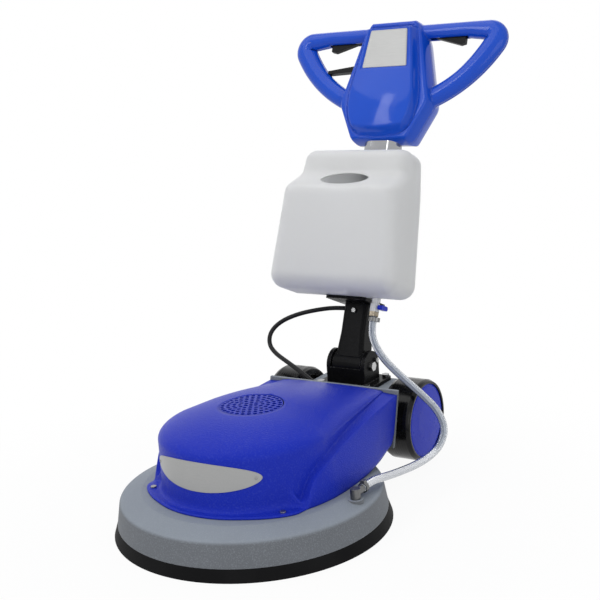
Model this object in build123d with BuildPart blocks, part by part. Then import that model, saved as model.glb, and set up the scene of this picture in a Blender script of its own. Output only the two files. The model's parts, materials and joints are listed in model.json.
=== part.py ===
# Single-disc carpet cleaning machine: round brush deck, moulded motor cover, two transport
# wheels, tilting chrome handle with a solution tank and a two-grip control head.
# Millimetres, +Z up, the front faces -Y. The origin is the centre of the overall footprint
# on the floor, so the brush axis stands at y = DECK_Y.
import os
from math import cos, pi, radians, sin, tan

from build123d import *

os.makedirs("parts", exist_ok=True)

# Clearances
SEAT = 0.3  # gap between round faces that seat on each other
RUN = 0.05  # radial running clearance of shafts and pins
SIDE = 0.5  # side play of moving pieces
BAND = 1.0  # half height of the band that picks edges by their place

# Skirt and deck, radii about the brush axis
SKIRT_R = 240.0
SKIRT_TOP_R = 233.0
SKIRT_HEIGHT = 20.5
DECK_RIM_R = 226.0
DECK_RIM_Z = 8.0
DECK_SHOULDER_R = 226.0
SHOULDER_DROP = 11.0
DECK_FLAT_R = 188.0
DECK_TOP_Z = 72.0
DECK_WALL = 5.0
DECK_HOLE_R = 62.0
SHOULDER_ROUND = 7.0

# Rear axle housing, part of the deck casting
HOUSING_HALF = 88.0
HOUSING_FRONT = 282.0
HOUSING_REAR = 432.0
HOUSING_TOP_Z = 140.0
HOUSING_BOTTOM_Z = 44.0
HOUSING_WALL = 6.0
HOUSING_TOP_CUT = 12.0
HOUSING_LOW_CUT = 24.0
BULKHEAD_T = 6.0
BULKHEAD_FOOT_Y = 256.0
BULKHEAD_HEAD_Y = 283.0
BULKHEAD_HEAD_Z = 163.0
BULKHEAD_HALF = 141.0
TRAY_HALF = 132.0
TRAY_T = 12.0

# Motor cover
NOSE_R = 152.0
COVER_REAR_HALF = 140.0
EAVE_Z = 163.0
CROWN_Z = 203.0
CROWN_R = 66.0
CROWN_REAR_Y = 120.0
COVER_WALL = 3.5
EAVE_ROUND = 16.0
CROWN_ROUND = 90.0
FLANGE_R = 181.0
FLANGE_T = 4.0
FLANGE_ANGLE = 67.0
FLANGE_SCREW_R = 167.0
FLANGE_SCREW_ANGLE = 52.0
WING_NOSE_Y = -60.0
WING_WIDE_Y = 90.0
WING_WIDE_HALF = 174.0
VENT_Y = 16.0
VENT_PITCH = 12.0
VENT_HOLE_R = 3.2
VENT_RINGS = 4
WING_NOSE_HALF = 140.0
WING_REAR_HALF = 141.0
WING_HEAD_HALF = 149.0
WING_BROW_Y = -42.0
WING_BROW_Z = 118.0
WING_CREST_Y = -5.0
WING_CREST_Z = 137.0
WING_LOW_ANGLE = 40.0
SCREW_HEAD_R = 5.0
SCREW_HEAD_T = 2.5
RIVET_ANGLE = 39.0
RIVET_R = 2.5
RIVET_T = 1.0

# Badge plate on the nose
BADGE_T = 1.0
BADGE_Z = 134.0
BADGE_HALF_H = 25.0
BADGE_ANGLE = 43.0

# Motor and gearbox under the cover
GEARBOX_FLANGE_R = 98.0
GEARBOX_FLANGE_T = 10.0
GEARBOX_HUB_R = 60.0
GEARBOX_HUB_Z = 42.0
MOTOR_R = 86.0
MOTOR_H = 66.0
COWL_H = 26.0
CAPACITOR_R = 24.0
CAPACITOR_L = 90.0
CAPACITOR_Y = 165.0
CAPACITOR_X = 60.0
MOTOR_FIN = 4.0
MOTOR_FINS = 24
COWL_TAPER = 25.0
COWL_SLOTS = 8
COWL_SLOT_R = 36.0
COWL_SLOT_L = 24.0
COWL_SLOT_W = 7.0
MOTOR_BOLT_R = 4.5

# Brush
BRUSH_R = 210.0
BRUSH_INNER_R = 66.0
BLOCK_T = 14.0
BLOCK_TOP_Z = 27.0
HUB_R = 56.0
HUB_T = 8.0
SHAFT_R = 15.0
SHAFT_TOP_Z = 66.0
BLOCK_HOLE_R = 20.0
BRISTLE_INSET = 2.5
TIP_Z = 1.5

# Wheels
WHEEL_R = 78.0
WHEEL_W = 62.0
WHEEL_X = 130.0
AXLE_Y = 360.0
AXLE_Z = 84.0
AXLE_R = 10.0
RIM_R = 62.0
RIM_W = 47.0
DISC_R = 70.0
DISC_T = 7.0
DISC_CROWN = 3.0
TYRE_ROUND = 7.0
BUSH_R = 14.0
BUSH_L = 40.0
CLIP_T = 2.5
CLIP_R = 13.0
AXLE_OVERRUN = 3.0
SPACER_R = 17.0

# Handle hinge
PIVOT_Y = 366.0
PIVOT_RISE = 38.0
TILT = 22.7  # backward lean of the handle from upright
BARREL_R = 27.0
BARREL_HALF = 31.0
CHEEK_GAP = 3.0
CHEEK_T = 8.0
CHEEK_BOLT_Y = 17.0
CHEEK_BOLT_Z = 8.0
PIN_HEAD_R = 9.5
PIN_HEAD_T = 6.0
CHEEK_R = 30.0
FRONT_WALL_T = 2.0
BRACKET_BASE_T = 7.0
BRACKET_HALF_X = 60.0
BRACKET_HALF_Y = 50.0
PIN_R = 7.0
BOLT_R = 5.0
BOLT_HEAD_R = 8.0
BOLT_HEAD_T = 5.0
BOLT_EDGE = 1.5

# Handle post, pole and tank shelf: heights run along the handle from the pivot
POST_HALF_X = 26.0
POST_HALF_D = 23.0
POST_TOP = 119.0
POST_ROUND = 8.0
POST_FLARE = 62.0
POST_BOLT = 104.0
GROMMET = 110.0
GROMMET_R = 7.0
GROMMET_T = 6.0
SPIGOT_H = 40.0
SHELF_T = 6.0
SHELF_HALF_X = 44.0
SHELF_FRONT = 70.0
POLE_W = 80.0
POLE_D = 42.0
POLE_WALL = 2.5
POLE_TOP = 560.0

# Tank
TANK_BACK = 32.0
TANK_FRONT = 152.0
TANK_UPPER_FRONT = 110.0
TANK_BOTTOM_HALF = 141.0
TANK_TOP_HALF = 112.0
TANK_SHOULDER_LOW = 319.0
TANK_SHOULDER = 351.0
TANK_TOP = 408.0
TANK_WALL = 3.5
TANK_CORNER = 46.0
TANK_TOP_CORNER = 30.0
TANK_ROUND = 26.0
MOUTH_X = -5.0
MOUTH_HALF_X = 47.0
MOUTH_HALF_D = 23.0
CLAMP_HEIGHT = 300.0
CLAMP_H = 24.0
CLAMP_T = 4.0

# Tap and hose
TAP_X = 64.0
TAP_D = 60.0
TAP_STEM_R = 7.0
TAP_BODY_R = 9.0
TAP_BODY_H = 16.0
TAP_STEM_H = 10.0
TAP_NUT_R = 10.0
TAP_NUT_H = 9.0
KNOB_STEM_R = 3.5
KNOB_REACH = 12.0
KNOB_HALF = 13.0
KNOB_R = 4.5
HOSE_D = 14.0
ELBOW_X = 204.0
ELBOW_Y = 2.0
ELBOW_RISE = 9.0
ELBOW_BOSS_R = 13.0
ELBOW_BOSS_H = 10.0
ELBOW_R = 8.5
ELBOW_REACH = 22.0
HOSE_LEAD = 30.0
HOSE_CLAMP_T = 1.5
HOSE_CLAMP_W = 8.0
HOSE_CLAMP_LUG = 8.0
HOSE_CLAMP_SET = 2.0
ARC_SHARE = 0.45  # part of a run that each bend of a cord takes up

# Motor cable and its gland behind the cover
CABLE_D = 9.0
CABLE_LEAD = 26.0
GLAND_FACE_X = -22.0
GLAND_L = 22.0
GLAND_Y = 301.0
GLAND_RISE = 10.0
GLAND_R = 8.0

# Control head
HEAD_TOP = 703.0
HEAD_TOP_HALF = 54.0
HEAD_NECK = 664.0
HEAD_NECK_HALF = 72.0
HEAD_WAIST = 528.0
HEAD_WAIST_HALF = 106.0
HEAD_BOTTOM = 446.0
HEAD_BOTTOM_HALF = 66.0
HEAD_REAR = 38.0
HEAD_FRONT = 30.0
HEAD_REAR_TAPER = 14.0
HEAD_FRONT_TAPER = 14.0
HEAD_WALL = 4.0
HEAD_CORNER = 14.0
HEAD_ROUND = 7.0
PANEL_TOP = 694.0
PANEL_TOP_HALF = 44.0
PANEL_WAIST = 530.0
PANEL_WAIST_HALF = 76.0
PANEL_BOTTOM = 474.0
PANEL_BOTTOM_HALF = 54.0
PANEL_BOW = 8.0
PANEL_H = 14.0
PANEL_TAPER = 14.0
PANEL_ROUND = 5.0
LABEL_TOP = 685.0
LABEL_BOTTOM = 606.0
LABEL_TOP_HALF = 34.0
LABEL_BOTTOM_HALF = 44.0
LABEL_T = 1.0

# Grip loops
GRIP_R = 14.0
GRIP_HEIGHT = 679.0
GRIP_BEND_X = 200.0
GRIP_BEND_R = 22.0
GRIP_BEND_ANGLE = 122.0
GRIP_ROOT_X = 40.0
GRIP_LOW_X = 88.0
GRIP_LOW = 536.0

# Switch levers and tilt release lever
LEVER_PIVOT_X = 82.0
LEVER_PIVOT = 676.0
LEVER_TIP_X = 152.0
LEVER_DROP = 27.0
LEVER_BACK = 5.0
LEVER_TIP_TOP = 8.0
LEVER_HALF_D = 5.0
LEVER_PIN_HALF = 9.0
LEVER_PIN_R = 3.0
SLOT_TOP = 686.0
RELEASE_PIVOT_X = -62.0
RELEASE_PIVOT = 612.0
RELEASE_TIP_X = -152.0
RELEASE_INNER_X = 4.0
RELEASE_T = 7.0
RELEASE_SLOT_LOW = 10.0
RELEASE_SLOT_HIGH = 16.0
RELEASE_HALF_D = 7.0
RELEASE_SWING = 14.0
SWITCH_HEIGHT = 668.0
SWITCH_W = 64.0
SWITCH_H = 40.0
SWITCH_D = 26.0
HEAD_SCREW_X = 34.0
HEAD_SCREW_LOW = 476.0
HEAD_SCREW_HIGH = 676.0
MAINS_GLAND = 500.0
ROD_R = 4.0
ROD_BOTTOM = 56.0
ROD_GAP = 1.0

# Derived places
DECK_SHOULDER_Z = DECK_TOP_Z - SHOULDER_DROP
BULKHEAD_FOOT_Z = DECK_TOP_Z - TRAY_T
PIVOT_Z = HOUSING_TOP_Z + PIVOT_RISE
ELBOW_BOSS_Z = DECK_SHOULDER_Z + ELBOW_BOSS_H
ELBOW_Z = ELBOW_BOSS_Z + ELBOW_RISE
GLAND_Z = HOUSING_TOP_Z + GLAND_RISE
REAR_EDGE = HEAD_TOP - HEAD_REAR * tan(radians(HEAD_REAR_TAPER))
REAR_REACH = PIVOT_Y + REAR_EDGE * sin(radians(TILT)) + HEAD_REAR * cos(radians(TILT))
DECK_Y = (SKIRT_R - REAR_REACH) / 2
BRUSH_AXIS = Axis((0, DECK_Y, 0), (0, 0, 1))
AXLE_AXIS = Axis((0, DECK_Y + AXLE_Y, AXLE_Z), (1, 0, 0))
UP_HANDLE = Vector(0, sin(radians(TILT)), cos(radians(TILT)))
OUT_FRONT = Vector(0, -cos(radians(TILT)), sin(radians(TILT)))
PIVOT = Vector(0, DECK_Y + PIVOT_Y, PIVOT_Z)
BULKHEAD_LEAN = (BULKHEAD_HEAD_Y - BULKHEAD_FOOT_Y) / (BULKHEAD_HEAD_Z - BULKHEAD_FOOT_Z)
SHELF_TOP = POST_TOP + SHELF_T
ROD_TRAVEL = (RELEASE_INNER_X - RELEASE_PIVOT_X) * sin(radians(RELEASE_SWING)) + SIDE


def level(z):
    """Horizontal plane at height z on the brush axis: sketch x to the right, y to the rear."""
    return Plane((0, DECK_Y, z))


def base_side(x):
    """Upright plane facing right at x: sketch x runs to the rear, sketch y runs up."""
    return Plane((x, DECK_Y, 0), x_dir=(0, 1, 0), z_dir=(1, 0, 0))


def base_front(y):
    """Upright plane facing forward, y behind the brush axis: sketch y runs up."""
    return Plane((0, DECK_Y + y, 0), x_dir=(1, 0, 0), z_dir=(0, -1, 0))


def handle_point(x, out, up):
    """Point given along the handle: x to the right, out to the front, up from the pivot."""
    return PIVOT + Vector(x, 0, 0) + OUT_FRONT * out + UP_HANDLE * up


def handle_front(out):
    """Plane along the handle facing forward: sketch x to the right, sketch y up the handle."""
    return Plane(handle_point(0, out, 0), x_dir=(1, 0, 0), z_dir=OUT_FRONT)


def handle_side(x):
    """Plane along the handle facing right: sketch x to the front, sketch y down the handle."""
    return Plane(handle_point(x, 0, 0), x_dir=OUT_FRONT, z_dir=(1, 0, 0))


def handle_level(up):
    """Plane square to the handle: sketch x to the right, sketch y to the rear."""
    return Plane(handle_point(0, 0, up), x_dir=(1, 0, 0), z_dir=UP_HANDLE)


def bulkhead_y(z):
    """Front face of the leaning bulkhead at height z."""
    return BULKHEAD_FOOT_Y + (z - BULKHEAD_FOOT_Z) * BULKHEAD_LEAN


def save(piece, name):
    """Label one finished piece and write it to its own file."""
    piece.part.label = name
    export_step(piece.part, f"parts/{name}.step")


# Deck: bell casting with the rear axle housing, cover tray and leaning bulkhead
with BuildPart() as deck:
    with BuildSketch(base_side(0)):
        with BuildLine():
            Polyline(
                (DECK_RIM_R, DECK_RIM_Z),
                (DECK_RIM_R, SKIRT_HEIGHT),
                (SKIRT_TOP_R, SKIRT_HEIGHT),
                (DECK_SHOULDER_R, DECK_SHOULDER_Z),
                (DECK_FLAT_R, DECK_TOP_Z),
                (0, DECK_TOP_Z),
                (0, DECK_RIM_Z),
                close=True,
            )
        make_face()
    revolve(axis=BRUSH_AXIS)
    shoulder = deck.edges().filter_by_position(Axis.Z, DECK_SHOULDER_Z - BAND, DECK_SHOULDER_Z + BAND)
    fillet(shoulder, SHOULDER_ROUND)
    with BuildSketch(base_side(-HOUSING_HALF)):
        with BuildLine():
            Polyline(
                (bulkhead_y(BULKHEAD_FOOT_Z) + BULKHEAD_T / 2, BULKHEAD_FOOT_Z),
                (bulkhead_y(HOUSING_TOP_Z) + BULKHEAD_T / 2, HOUSING_TOP_Z),
                (HOUSING_REAR - HOUSING_TOP_CUT, HOUSING_TOP_Z),
                (HOUSING_REAR, HOUSING_TOP_Z - HOUSING_TOP_CUT),
                (HOUSING_REAR, HOUSING_BOTTOM_Z + HOUSING_LOW_CUT),
                (HOUSING_REAR - HOUSING_LOW_CUT, HOUSING_BOTTOM_Z),
                (HOUSING_FRONT, HOUSING_BOTTOM_Z),
                close=True,
            )
        make_face()
    extrude(amount=2 * HOUSING_HALF)
    with BuildSketch(level(DECK_TOP_Z - TRAY_T)):
        with Locations((0, (BULKHEAD_FOOT_Y + BULKHEAD_T) / 2)):
            Rectangle(2 * TRAY_HALF, BULKHEAD_FOOT_Y)
    extrude(amount=TRAY_T)
    with BuildSketch(base_side(-BULKHEAD_HALF)):
        with BuildLine():
            Polyline(
                (BULKHEAD_FOOT_Y, BULKHEAD_FOOT_Z),
                (BULKHEAD_HEAD_Y, BULKHEAD_HEAD_Z),
                (BULKHEAD_HEAD_Y + BULKHEAD_T, BULKHEAD_HEAD_Z),
                (BULKHEAD_FOOT_Y + BULKHEAD_T, BULKHEAD_FOOT_Z),
                close=True,
            )
        make_face()
    extrude(amount=2 * BULKHEAD_HALF)
    # Hollow underside of the bell, then the hole for the gearbox hub
    with BuildSketch(base_side(0)):
        with BuildLine():
            Polyline(
                (0, 0),
                (DECK_RIM_R - DECK_WALL, 0),
                (DECK_RIM_R - DECK_WALL, DECK_SHOULDER_Z - DECK_WALL),
                (DECK_FLAT_R, DECK_TOP_Z - DECK_WALL),
                (0, DECK_TOP_Z - DECK_WALL),
                close=True,
            )
        make_face()
    revolve(axis=BRUSH_AXIS, mode=Mode.SUBTRACT)
    with BuildSketch(level(DECK_TOP_Z)):
        Circle(DECK_HOLE_R)
    extrude(amount=-TRAY_T, mode=Mode.SUBTRACT)
    # Hollow axle housing, open below
    hollow_front = bulkhead_y(HOUSING_TOP_Z) + BULKHEAD_T + HOUSING_WALL
    hollow_rear = HOUSING_REAR - 2 * HOUSING_WALL
    with BuildSketch(level(0)):
        with Locations((0, (hollow_front + hollow_rear) / 2)):
            Rectangle(2 * (HOUSING_HALF - HOUSING_WALL), hollow_rear - hollow_front)
    extrude(amount=HOUSING_TOP_Z - HOUSING_WALL, mode=Mode.SUBTRACT)
    with BuildSketch(base_side(-HOUSING_HALF)):
        with Locations((AXLE_Y, AXLE_Z)):
            Circle(AXLE_R + RUN)
    extrude(amount=2 * HOUSING_HALF, mode=Mode.SUBTRACT)
    # Boss for the hose elbow
    with BuildSketch(level(DECK_SHOULDER_Z - DECK_WALL)):
        with Locations((ELBOW_X, ELBOW_Y)):
            Circle(ELBOW_BOSS_R)
    extrude(amount=ELBOW_BOSS_Z - DECK_SHOULDER_Z + DECK_WALL)
save(deck, "deck")

with BuildPart() as skirt:
    with BuildSketch(base_side(0)):
        with BuildLine():
            Polyline(
                (DECK_RIM_R + SEAT, 0),
                (SKIRT_R, 0),
                (SKIRT_TOP_R, SKIRT_HEIGHT),
                (DECK_RIM_R + SEAT, SKIRT_HEIGHT),
                close=True,
            )
        make_face()
    revolve(axis=BRUSH_AXIS)
save(skirt, "skirt")


def cover_outline(z, nose_r, rear_half, rear_y):
    """Face at height z: a round nose closed by two long sides and a straight rear edge."""
    with BuildSketch(level(z)) as outline:
        with BuildLine():
            RadiusArc((-nose_r, 0), (nose_r, 0), -nose_r)
            Polyline((nose_r, 0), (rear_half, rear_y), (-rear_half, rear_y), (-nose_r, 0))
        make_face()
    return outline.sketch.face()


def behind_bulkhead(inset):
    """Side-view face of all that lies behind the leaning bulkhead, moved forward by inset."""
    with BuildSketch(base_side(-SKIRT_R)) as behind:
        with BuildLine():
            Polyline(
                (bulkhead_y(0) - inset, 0),
                (bulkhead_y(CROWN_Z) - inset, CROWN_Z),
                (HOUSING_REAR, CROWN_Z),
                (HOUSING_REAR, 0),
                close=True,
            )
        make_face()
    return behind.sketch.face()


def cover_dome(inset):
    """Dome of the motor cover, inset from its outer face: walls, and a crown lofted above the eaves."""
    rear_y = bulkhead_y(CROWN_Z)
    eave_z = EAVE_Z - inset / 2
    eave = cover_outline(eave_z, NOSE_R - inset, COVER_REAR_HALF - inset, rear_y)
    crown = cover_outline(CROWN_Z - inset, CROWN_R, CROWN_R, CROWN_REAR_Y)
    with BuildPart() as dome:
        extrude(eave, amount=DECK_TOP_Z - eave_z)
        loft([eave, crown], ruled=True)
        extrude(behind_bulkhead(inset), amount=2 * SKIRT_R, mode=Mode.SUBTRACT)
    return dome


def wing_outline(side, z, wide_half, inset):
    """Plan face of one wing at height z: straight inside, bowed outside through its widest point."""
    inner = side * (TRAY_HALF + SEAT)
    nose = (side * (WING_NOSE_HALF - inset), WING_NOSE_Y + inset)
    rear = (side * (WING_REAR_HALF - inset), bulkhead_y(CROWN_Z))
    with BuildSketch(level(z)) as outline:
        with BuildLine():
            Polyline(rear, (inner, bulkhead_y(CROWN_Z)), (inner, WING_NOSE_Y + inset), nose)
            ThreePointArc(nose, (side * (wide_half - inset), WING_WIDE_Y), rear)
        make_face()
    return outline.sketch.face()


def cover_wing(side, inset):
    """Side wing that flares downwards below a crease bowed up from the nose to the rear top corner."""
    lower_y = DECK_RIM_R * cos(radians(WING_LOW_ANGLE))
    nose = (WING_NOSE_Y + inset, DECK_TOP_Z - inset)
    brow = (WING_BROW_Y + inset, WING_BROW_Z - inset)
    crest = (WING_CREST_Y + inset, WING_CREST_Z - inset)
    foot = wing_outline(side, BULKHEAD_FOOT_Z, WING_WIDE_HALF, inset)
    head = wing_outline(side, BULKHEAD_HEAD_Z, WING_HEAD_HALF, inset)
    with BuildPart() as wing:
        loft([foot, head], ruled=True)
        with BuildSketch(base_side(-SKIRT_R)):
            with BuildLine():
                ThreePointArc(nose, brow, crest)
                Polyline(
                    crest,
                    (bulkhead_y(BULKHEAD_HEAD_Z) - inset, BULKHEAD_HEAD_Z - inset),
                    (bulkhead_y(BULKHEAD_FOOT_Z) - inset, BULKHEAD_FOOT_Z),
                    (lower_y + DECK_TOP_Z - BULKHEAD_FOOT_Z, BULKHEAD_FOOT_Z),
                    (lower_y, DECK_TOP_Z - inset),
                    nose,
                )
            make_face()
        extrude(amount=2 * SKIRT_R, mode=Mode.INTERSECT)
    return wing


cover_outside = cover_dome(0)
cover_inside = cover_dome(COVER_WALL)
wings_outside = [cover_wing(side, 0) for side in (-1, 1)]
wings_inside = [cover_wing(side, COVER_WALL) for side in (-1, 1)]

# Motor cover: moulded shell with flared wings, a screwed front flange and a round vent
with BuildPart() as motor_cover:
    add(cover_outside.part)
    eaves = motor_cover.edges().filter_by_position(Axis.Z, EAVE_Z - BAND, EAVE_Z + BAND)
    fillet(eaves.filter_by(lambda e: e.center().Y < DECK_Y + CROWN_REAR_Y), EAVE_ROUND)
    fillet(motor_cover.edges().filter_by_position(Axis.Z, CROWN_Z - BAND, CROWN_Z + BAND), CROWN_ROUND)
    for wing in wings_outside:
        add(wing.part)
    with BuildSketch(level(DECK_TOP_Z)):
        Circle(FLANGE_R)
        with BuildLine():
            Polyline(
                (0, 0),
                (2 * SKIRT_R * sin(radians(FLANGE_ANGLE)), -2 * SKIRT_R * cos(radians(FLANGE_ANGLE))),
                (-2 * SKIRT_R * sin(radians(FLANGE_ANGLE)), -2 * SKIRT_R * cos(radians(FLANGE_ANGLE))),
                close=True,
            )
        make_face(mode=Mode.INTERSECT)
    extrude(amount=FLANGE_T)
    add(cover_inside.part, mode=Mode.SUBTRACT)
    for wing in wings_inside:
        add(wing.part, mode=Mode.SUBTRACT)
    with BuildSketch(level(CROWN_Z)):
        with Locations((0, VENT_Y)):
            Circle(VENT_HOLE_R)
            for ring in range(1, VENT_RINGS + 1):
                with PolarLocations(ring * VENT_PITCH, 6 * ring):
                    RegularPolygon(VENT_HOLE_R, 6)
    extrude(amount=-3 * COVER_WALL, mode=Mode.SUBTRACT)
save(motor_cover, "motor_cover")

with BuildPart() as cover_screws:
    with BuildSketch(level(DECK_TOP_Z + FLANGE_T)):
        for side in (-1, 1):
            screw_angle = radians(FLANGE_SCREW_ANGLE)
            with Locations((side * FLANGE_SCREW_R * sin(screw_angle), -FLANGE_SCREW_R * cos(screw_angle))):
                Circle(SCREW_HEAD_R)
    extrude(amount=SCREW_HEAD_T)
save(cover_screws, "cover_screws")

# Badge plate curved round the nose, with a rivet at each end
with BuildPart() as cover_badge:
    with BuildSketch(level(BADGE_Z - BADGE_HALF_H)):
        Circle(NOSE_R + RUN + BADGE_T)
        Circle(NOSE_R + RUN, mode=Mode.SUBTRACT)
    extrude(amount=2 * BADGE_HALF_H)
    with BuildSketch(base_front(0)):
        with Locations((0, BADGE_Z)):
            Ellipse(NOSE_R * sin(radians(BADGE_ANGLE)), BADGE_HALF_H)
    extrude(amount=NOSE_R + 2 * BADGE_T, mode=Mode.INTERSECT)
save(cover_badge, "cover_badge")

with BuildPart() as badge_rivets:
    for side in (-1, 1):
        outward = Vector(side * sin(radians(RIVET_ANGLE)), -cos(radians(RIVET_ANGLE)), 0)
        seat = Vector(0, DECK_Y, BADGE_Z) + outward * (NOSE_R + RUN + BADGE_T + RUN)
        with BuildSketch(Plane(seat, z_dir=outward)):
            Circle(RIVET_R)
        extrude(amount=RIVET_T)
save(badge_rivets, "badge_rivets")

# Gearbox, motor and its starting capacitor
with BuildPart() as gearbox:
    with BuildSketch(base_side(0)):
        with BuildLine():
            Polyline(
                (SHAFT_R + RUN, GEARBOX_HUB_Z),
                (GEARBOX_HUB_R, GEARBOX_HUB_Z),
                (GEARBOX_HUB_R, DECK_TOP_Z),
                (GEARBOX_FLANGE_R, DECK_TOP_Z),
                (GEARBOX_FLANGE_R, DECK_TOP_Z + GEARBOX_FLANGE_T),
                (0, DECK_TOP_Z + GEARBOX_FLANGE_T),
                (0, SHAFT_TOP_Z + SIDE),
                (SHAFT_R + RUN, SHAFT_TOP_Z + SIDE),
                close=True,
            )
        make_face()
    revolve(axis=BRUSH_AXIS)
save(gearbox, "gearbox")

MOTOR_FOOT_Z = DECK_TOP_Z + GEARBOX_FLANGE_T
with BuildPart() as motor_housing:
    with BuildSketch(level(MOTOR_FOOT_Z)):
        Circle(MOTOR_R - MOTOR_FIN)
        with PolarLocations(MOTOR_R - MOTOR_FIN, MOTOR_FINS):
            Rectangle(2 * MOTOR_FIN, MOTOR_FIN)
    extrude(amount=MOTOR_H)
save(motor_housing, "motor_housing")

with BuildPart() as motor_cowl:
    with BuildSketch(level(MOTOR_FOOT_Z + MOTOR_H)):
        Circle(MOTOR_R - MOTOR_FIN)
    extrude(amount=COWL_H, taper=COWL_TAPER)
    with BuildSketch(level(MOTOR_FOOT_Z + MOTOR_H + COWL_H)):
        with PolarLocations(COWL_SLOT_R, COWL_SLOTS):
            SlotOverall(COWL_SLOT_L, COWL_SLOT_W)
    extrude(amount=-COWL_H / 2, mode=Mode.SUBTRACT)
save(motor_cowl, "motor_cowl")

with BuildPart() as motor_bolts:
    with BuildSketch(level(MOTOR_FOOT_Z)):
        with PolarLocations((MOTOR_R + GEARBOX_FLANGE_R) / 2, 4, start_angle=45):
            RegularPolygon(MOTOR_BOLT_R, 6)
    extrude(amount=BOLT_HEAD_T)
save(motor_bolts, "motor_bolts")

with BuildPart() as start_capacitor:
    with BuildSketch(level(DECK_TOP_Z)):
        with Locations((CAPACITOR_X, CAPACITOR_Y)):
            Circle(CAPACITOR_R)
    extrude(amount=CAPACITOR_L)
save(start_capacitor, "start_capacitor")

# Brush: hub on the gearbox output, wooden block, and the ring that the bristles fill
with BuildPart() as drive_hub:
    with BuildSketch(base_side(0)):
        with BuildLine():
            Polyline(
                (0, BLOCK_TOP_Z),
                (HUB_R, BLOCK_TOP_Z),
                (HUB_R, BLOCK_TOP_Z + HUB_T),
                (SHAFT_R, BLOCK_TOP_Z + HUB_T),
                (SHAFT_R, SHAFT_TOP_Z),
                (0, SHAFT_TOP_Z),
                close=True,
            )
        make_face()
    revolve(axis=BRUSH_AXIS)
save(drive_hub, "drive_hub")

with BuildPart() as brush_block:
    with BuildSketch(level(BLOCK_TOP_Z)):
        Circle(BRUSH_R)
        Circle(BLOCK_HOLE_R, mode=Mode.SUBTRACT)
    extrude(amount=-BLOCK_T)
save(brush_block, "brush_block")

BRISTLE_TOP_Z = BLOCK_TOP_Z - BLOCK_T
with BuildPart() as bristles:
    with BuildSketch(level(BRISTLE_TOP_Z)):
        Circle(BRUSH_R - BRISTLE_INSET)
        Circle(BRUSH_INNER_R, mode=Mode.SUBTRACT)
    extrude(amount=TIP_Z - BRISTLE_TOP_Z)
save(bristles, "bristles")

# Axle, spacers and end clips
AXLE_HALF = WHEEL_X - RIM_W / 2 + BUSH_L + CLIP_T + AXLE_OVERRUN
with BuildPart() as axle:
    with BuildSketch(base_side(-AXLE_HALF)):
        with Locations((AXLE_Y, AXLE_Z)):
            Circle(AXLE_R)
    extrude(amount=2 * AXLE_HALF)
save(axle, "axle")

with BuildPart() as axle_spacers:
    for side in (-1, 1):
        with BuildSketch(base_side(side * HOUSING_HALF)):
            with Locations((AXLE_Y, AXLE_Z)):
                Circle(SPACER_R)
                Circle(AXLE_R + RUN, mode=Mode.SUBTRACT)
        extrude(amount=side * (WHEEL_X - RIM_W / 2 - SEAT - HOUSING_HALF))
save(axle_spacers, "axle_spacers")

with BuildPart() as axle_clips:
    for side in (-1, 1):
        with BuildSketch(base_side(side * (WHEEL_X - RIM_W / 2 + BUSH_L + SEAT))):
            with Locations((AXLE_Y, AXLE_Z)):
                Circle(CLIP_R)
                Circle(AXLE_R + RUN, mode=Mode.SUBTRACT)
        extrude(amount=side * CLIP_T)
save(axle_clips, "axle_clips")


def wheel_ring(side, profile):
    """Solid of revolution about the axle: profile pairs run along the axle, outward from the middle
    of the wheel, and then from the axle out."""
    wheel_middle = (side * WHEEL_X, DECK_Y + AXLE_Y, AXLE_Z)
    with BuildPart() as ring:
        with BuildSketch(Plane(wheel_middle, x_dir=(side, 0, 0), z_dir=(0, -side, 0))):
            with BuildLine():
                Polyline(*profile, close=True)
            make_face()
        revolve(axis=AXLE_AXIS)
    return ring


for side, which in ((-1, "left"), (1, "right")):
    tyre = wheel_ring(
        side,
        [
            (-WHEEL_W / 2, RIM_R),
            (WHEEL_W / 2 - DISC_T, RIM_R),
            (WHEEL_W / 2 - DISC_T, DISC_R + SEAT),
            (WHEEL_W / 2, DISC_R + SEAT),
            (WHEEL_W / 2, WHEEL_R - TYRE_ROUND / 2),
            (WHEEL_W / 2 - TYRE_ROUND, WHEEL_R),
            (TYRE_ROUND - WHEEL_W / 2, WHEEL_R),
            (-WHEEL_W / 2, WHEEL_R - TYRE_ROUND / 2),
        ],
    )
    save(tyre, f"tyre_{which}")
    rim = wheel_ring(
        side,
        [
            (-RIM_W / 2, BUSH_R + SEAT),
            (RIM_W / 2, BUSH_R + SEAT),
            (RIM_W / 2, RIM_R - SEAT),
            (-RIM_W / 2, RIM_R - SEAT),
        ],
    )
    save(rim, f"rim_{which}")
    bush = wheel_ring(
        side,
        [
            (-RIM_W / 2, AXLE_R + RUN),
            (BUSH_L - RIM_W / 2, AXLE_R + RUN),
            (BUSH_L - RIM_W / 2, BUSH_R),
            (-RIM_W / 2, BUSH_R),
        ],
    )
    save(bush, f"bush_{which}")
    disc = wheel_ring(
        side,
        [
            (WHEEL_W / 2 - DISC_T, 0),
            (WHEEL_W / 2 - DISC_T, DISC_R),
            (WHEEL_W / 2 - DISC_CROWN, DISC_R),
            (WHEEL_W / 2 - DISC_CROWN / 3, DISC_R - 2 * DISC_CROWN),
            (WHEEL_W / 2, DISC_R / 2),
            (WHEEL_W / 2, 0),
        ],
    )
    save(disc, f"wheel_disc_{which}")

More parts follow.
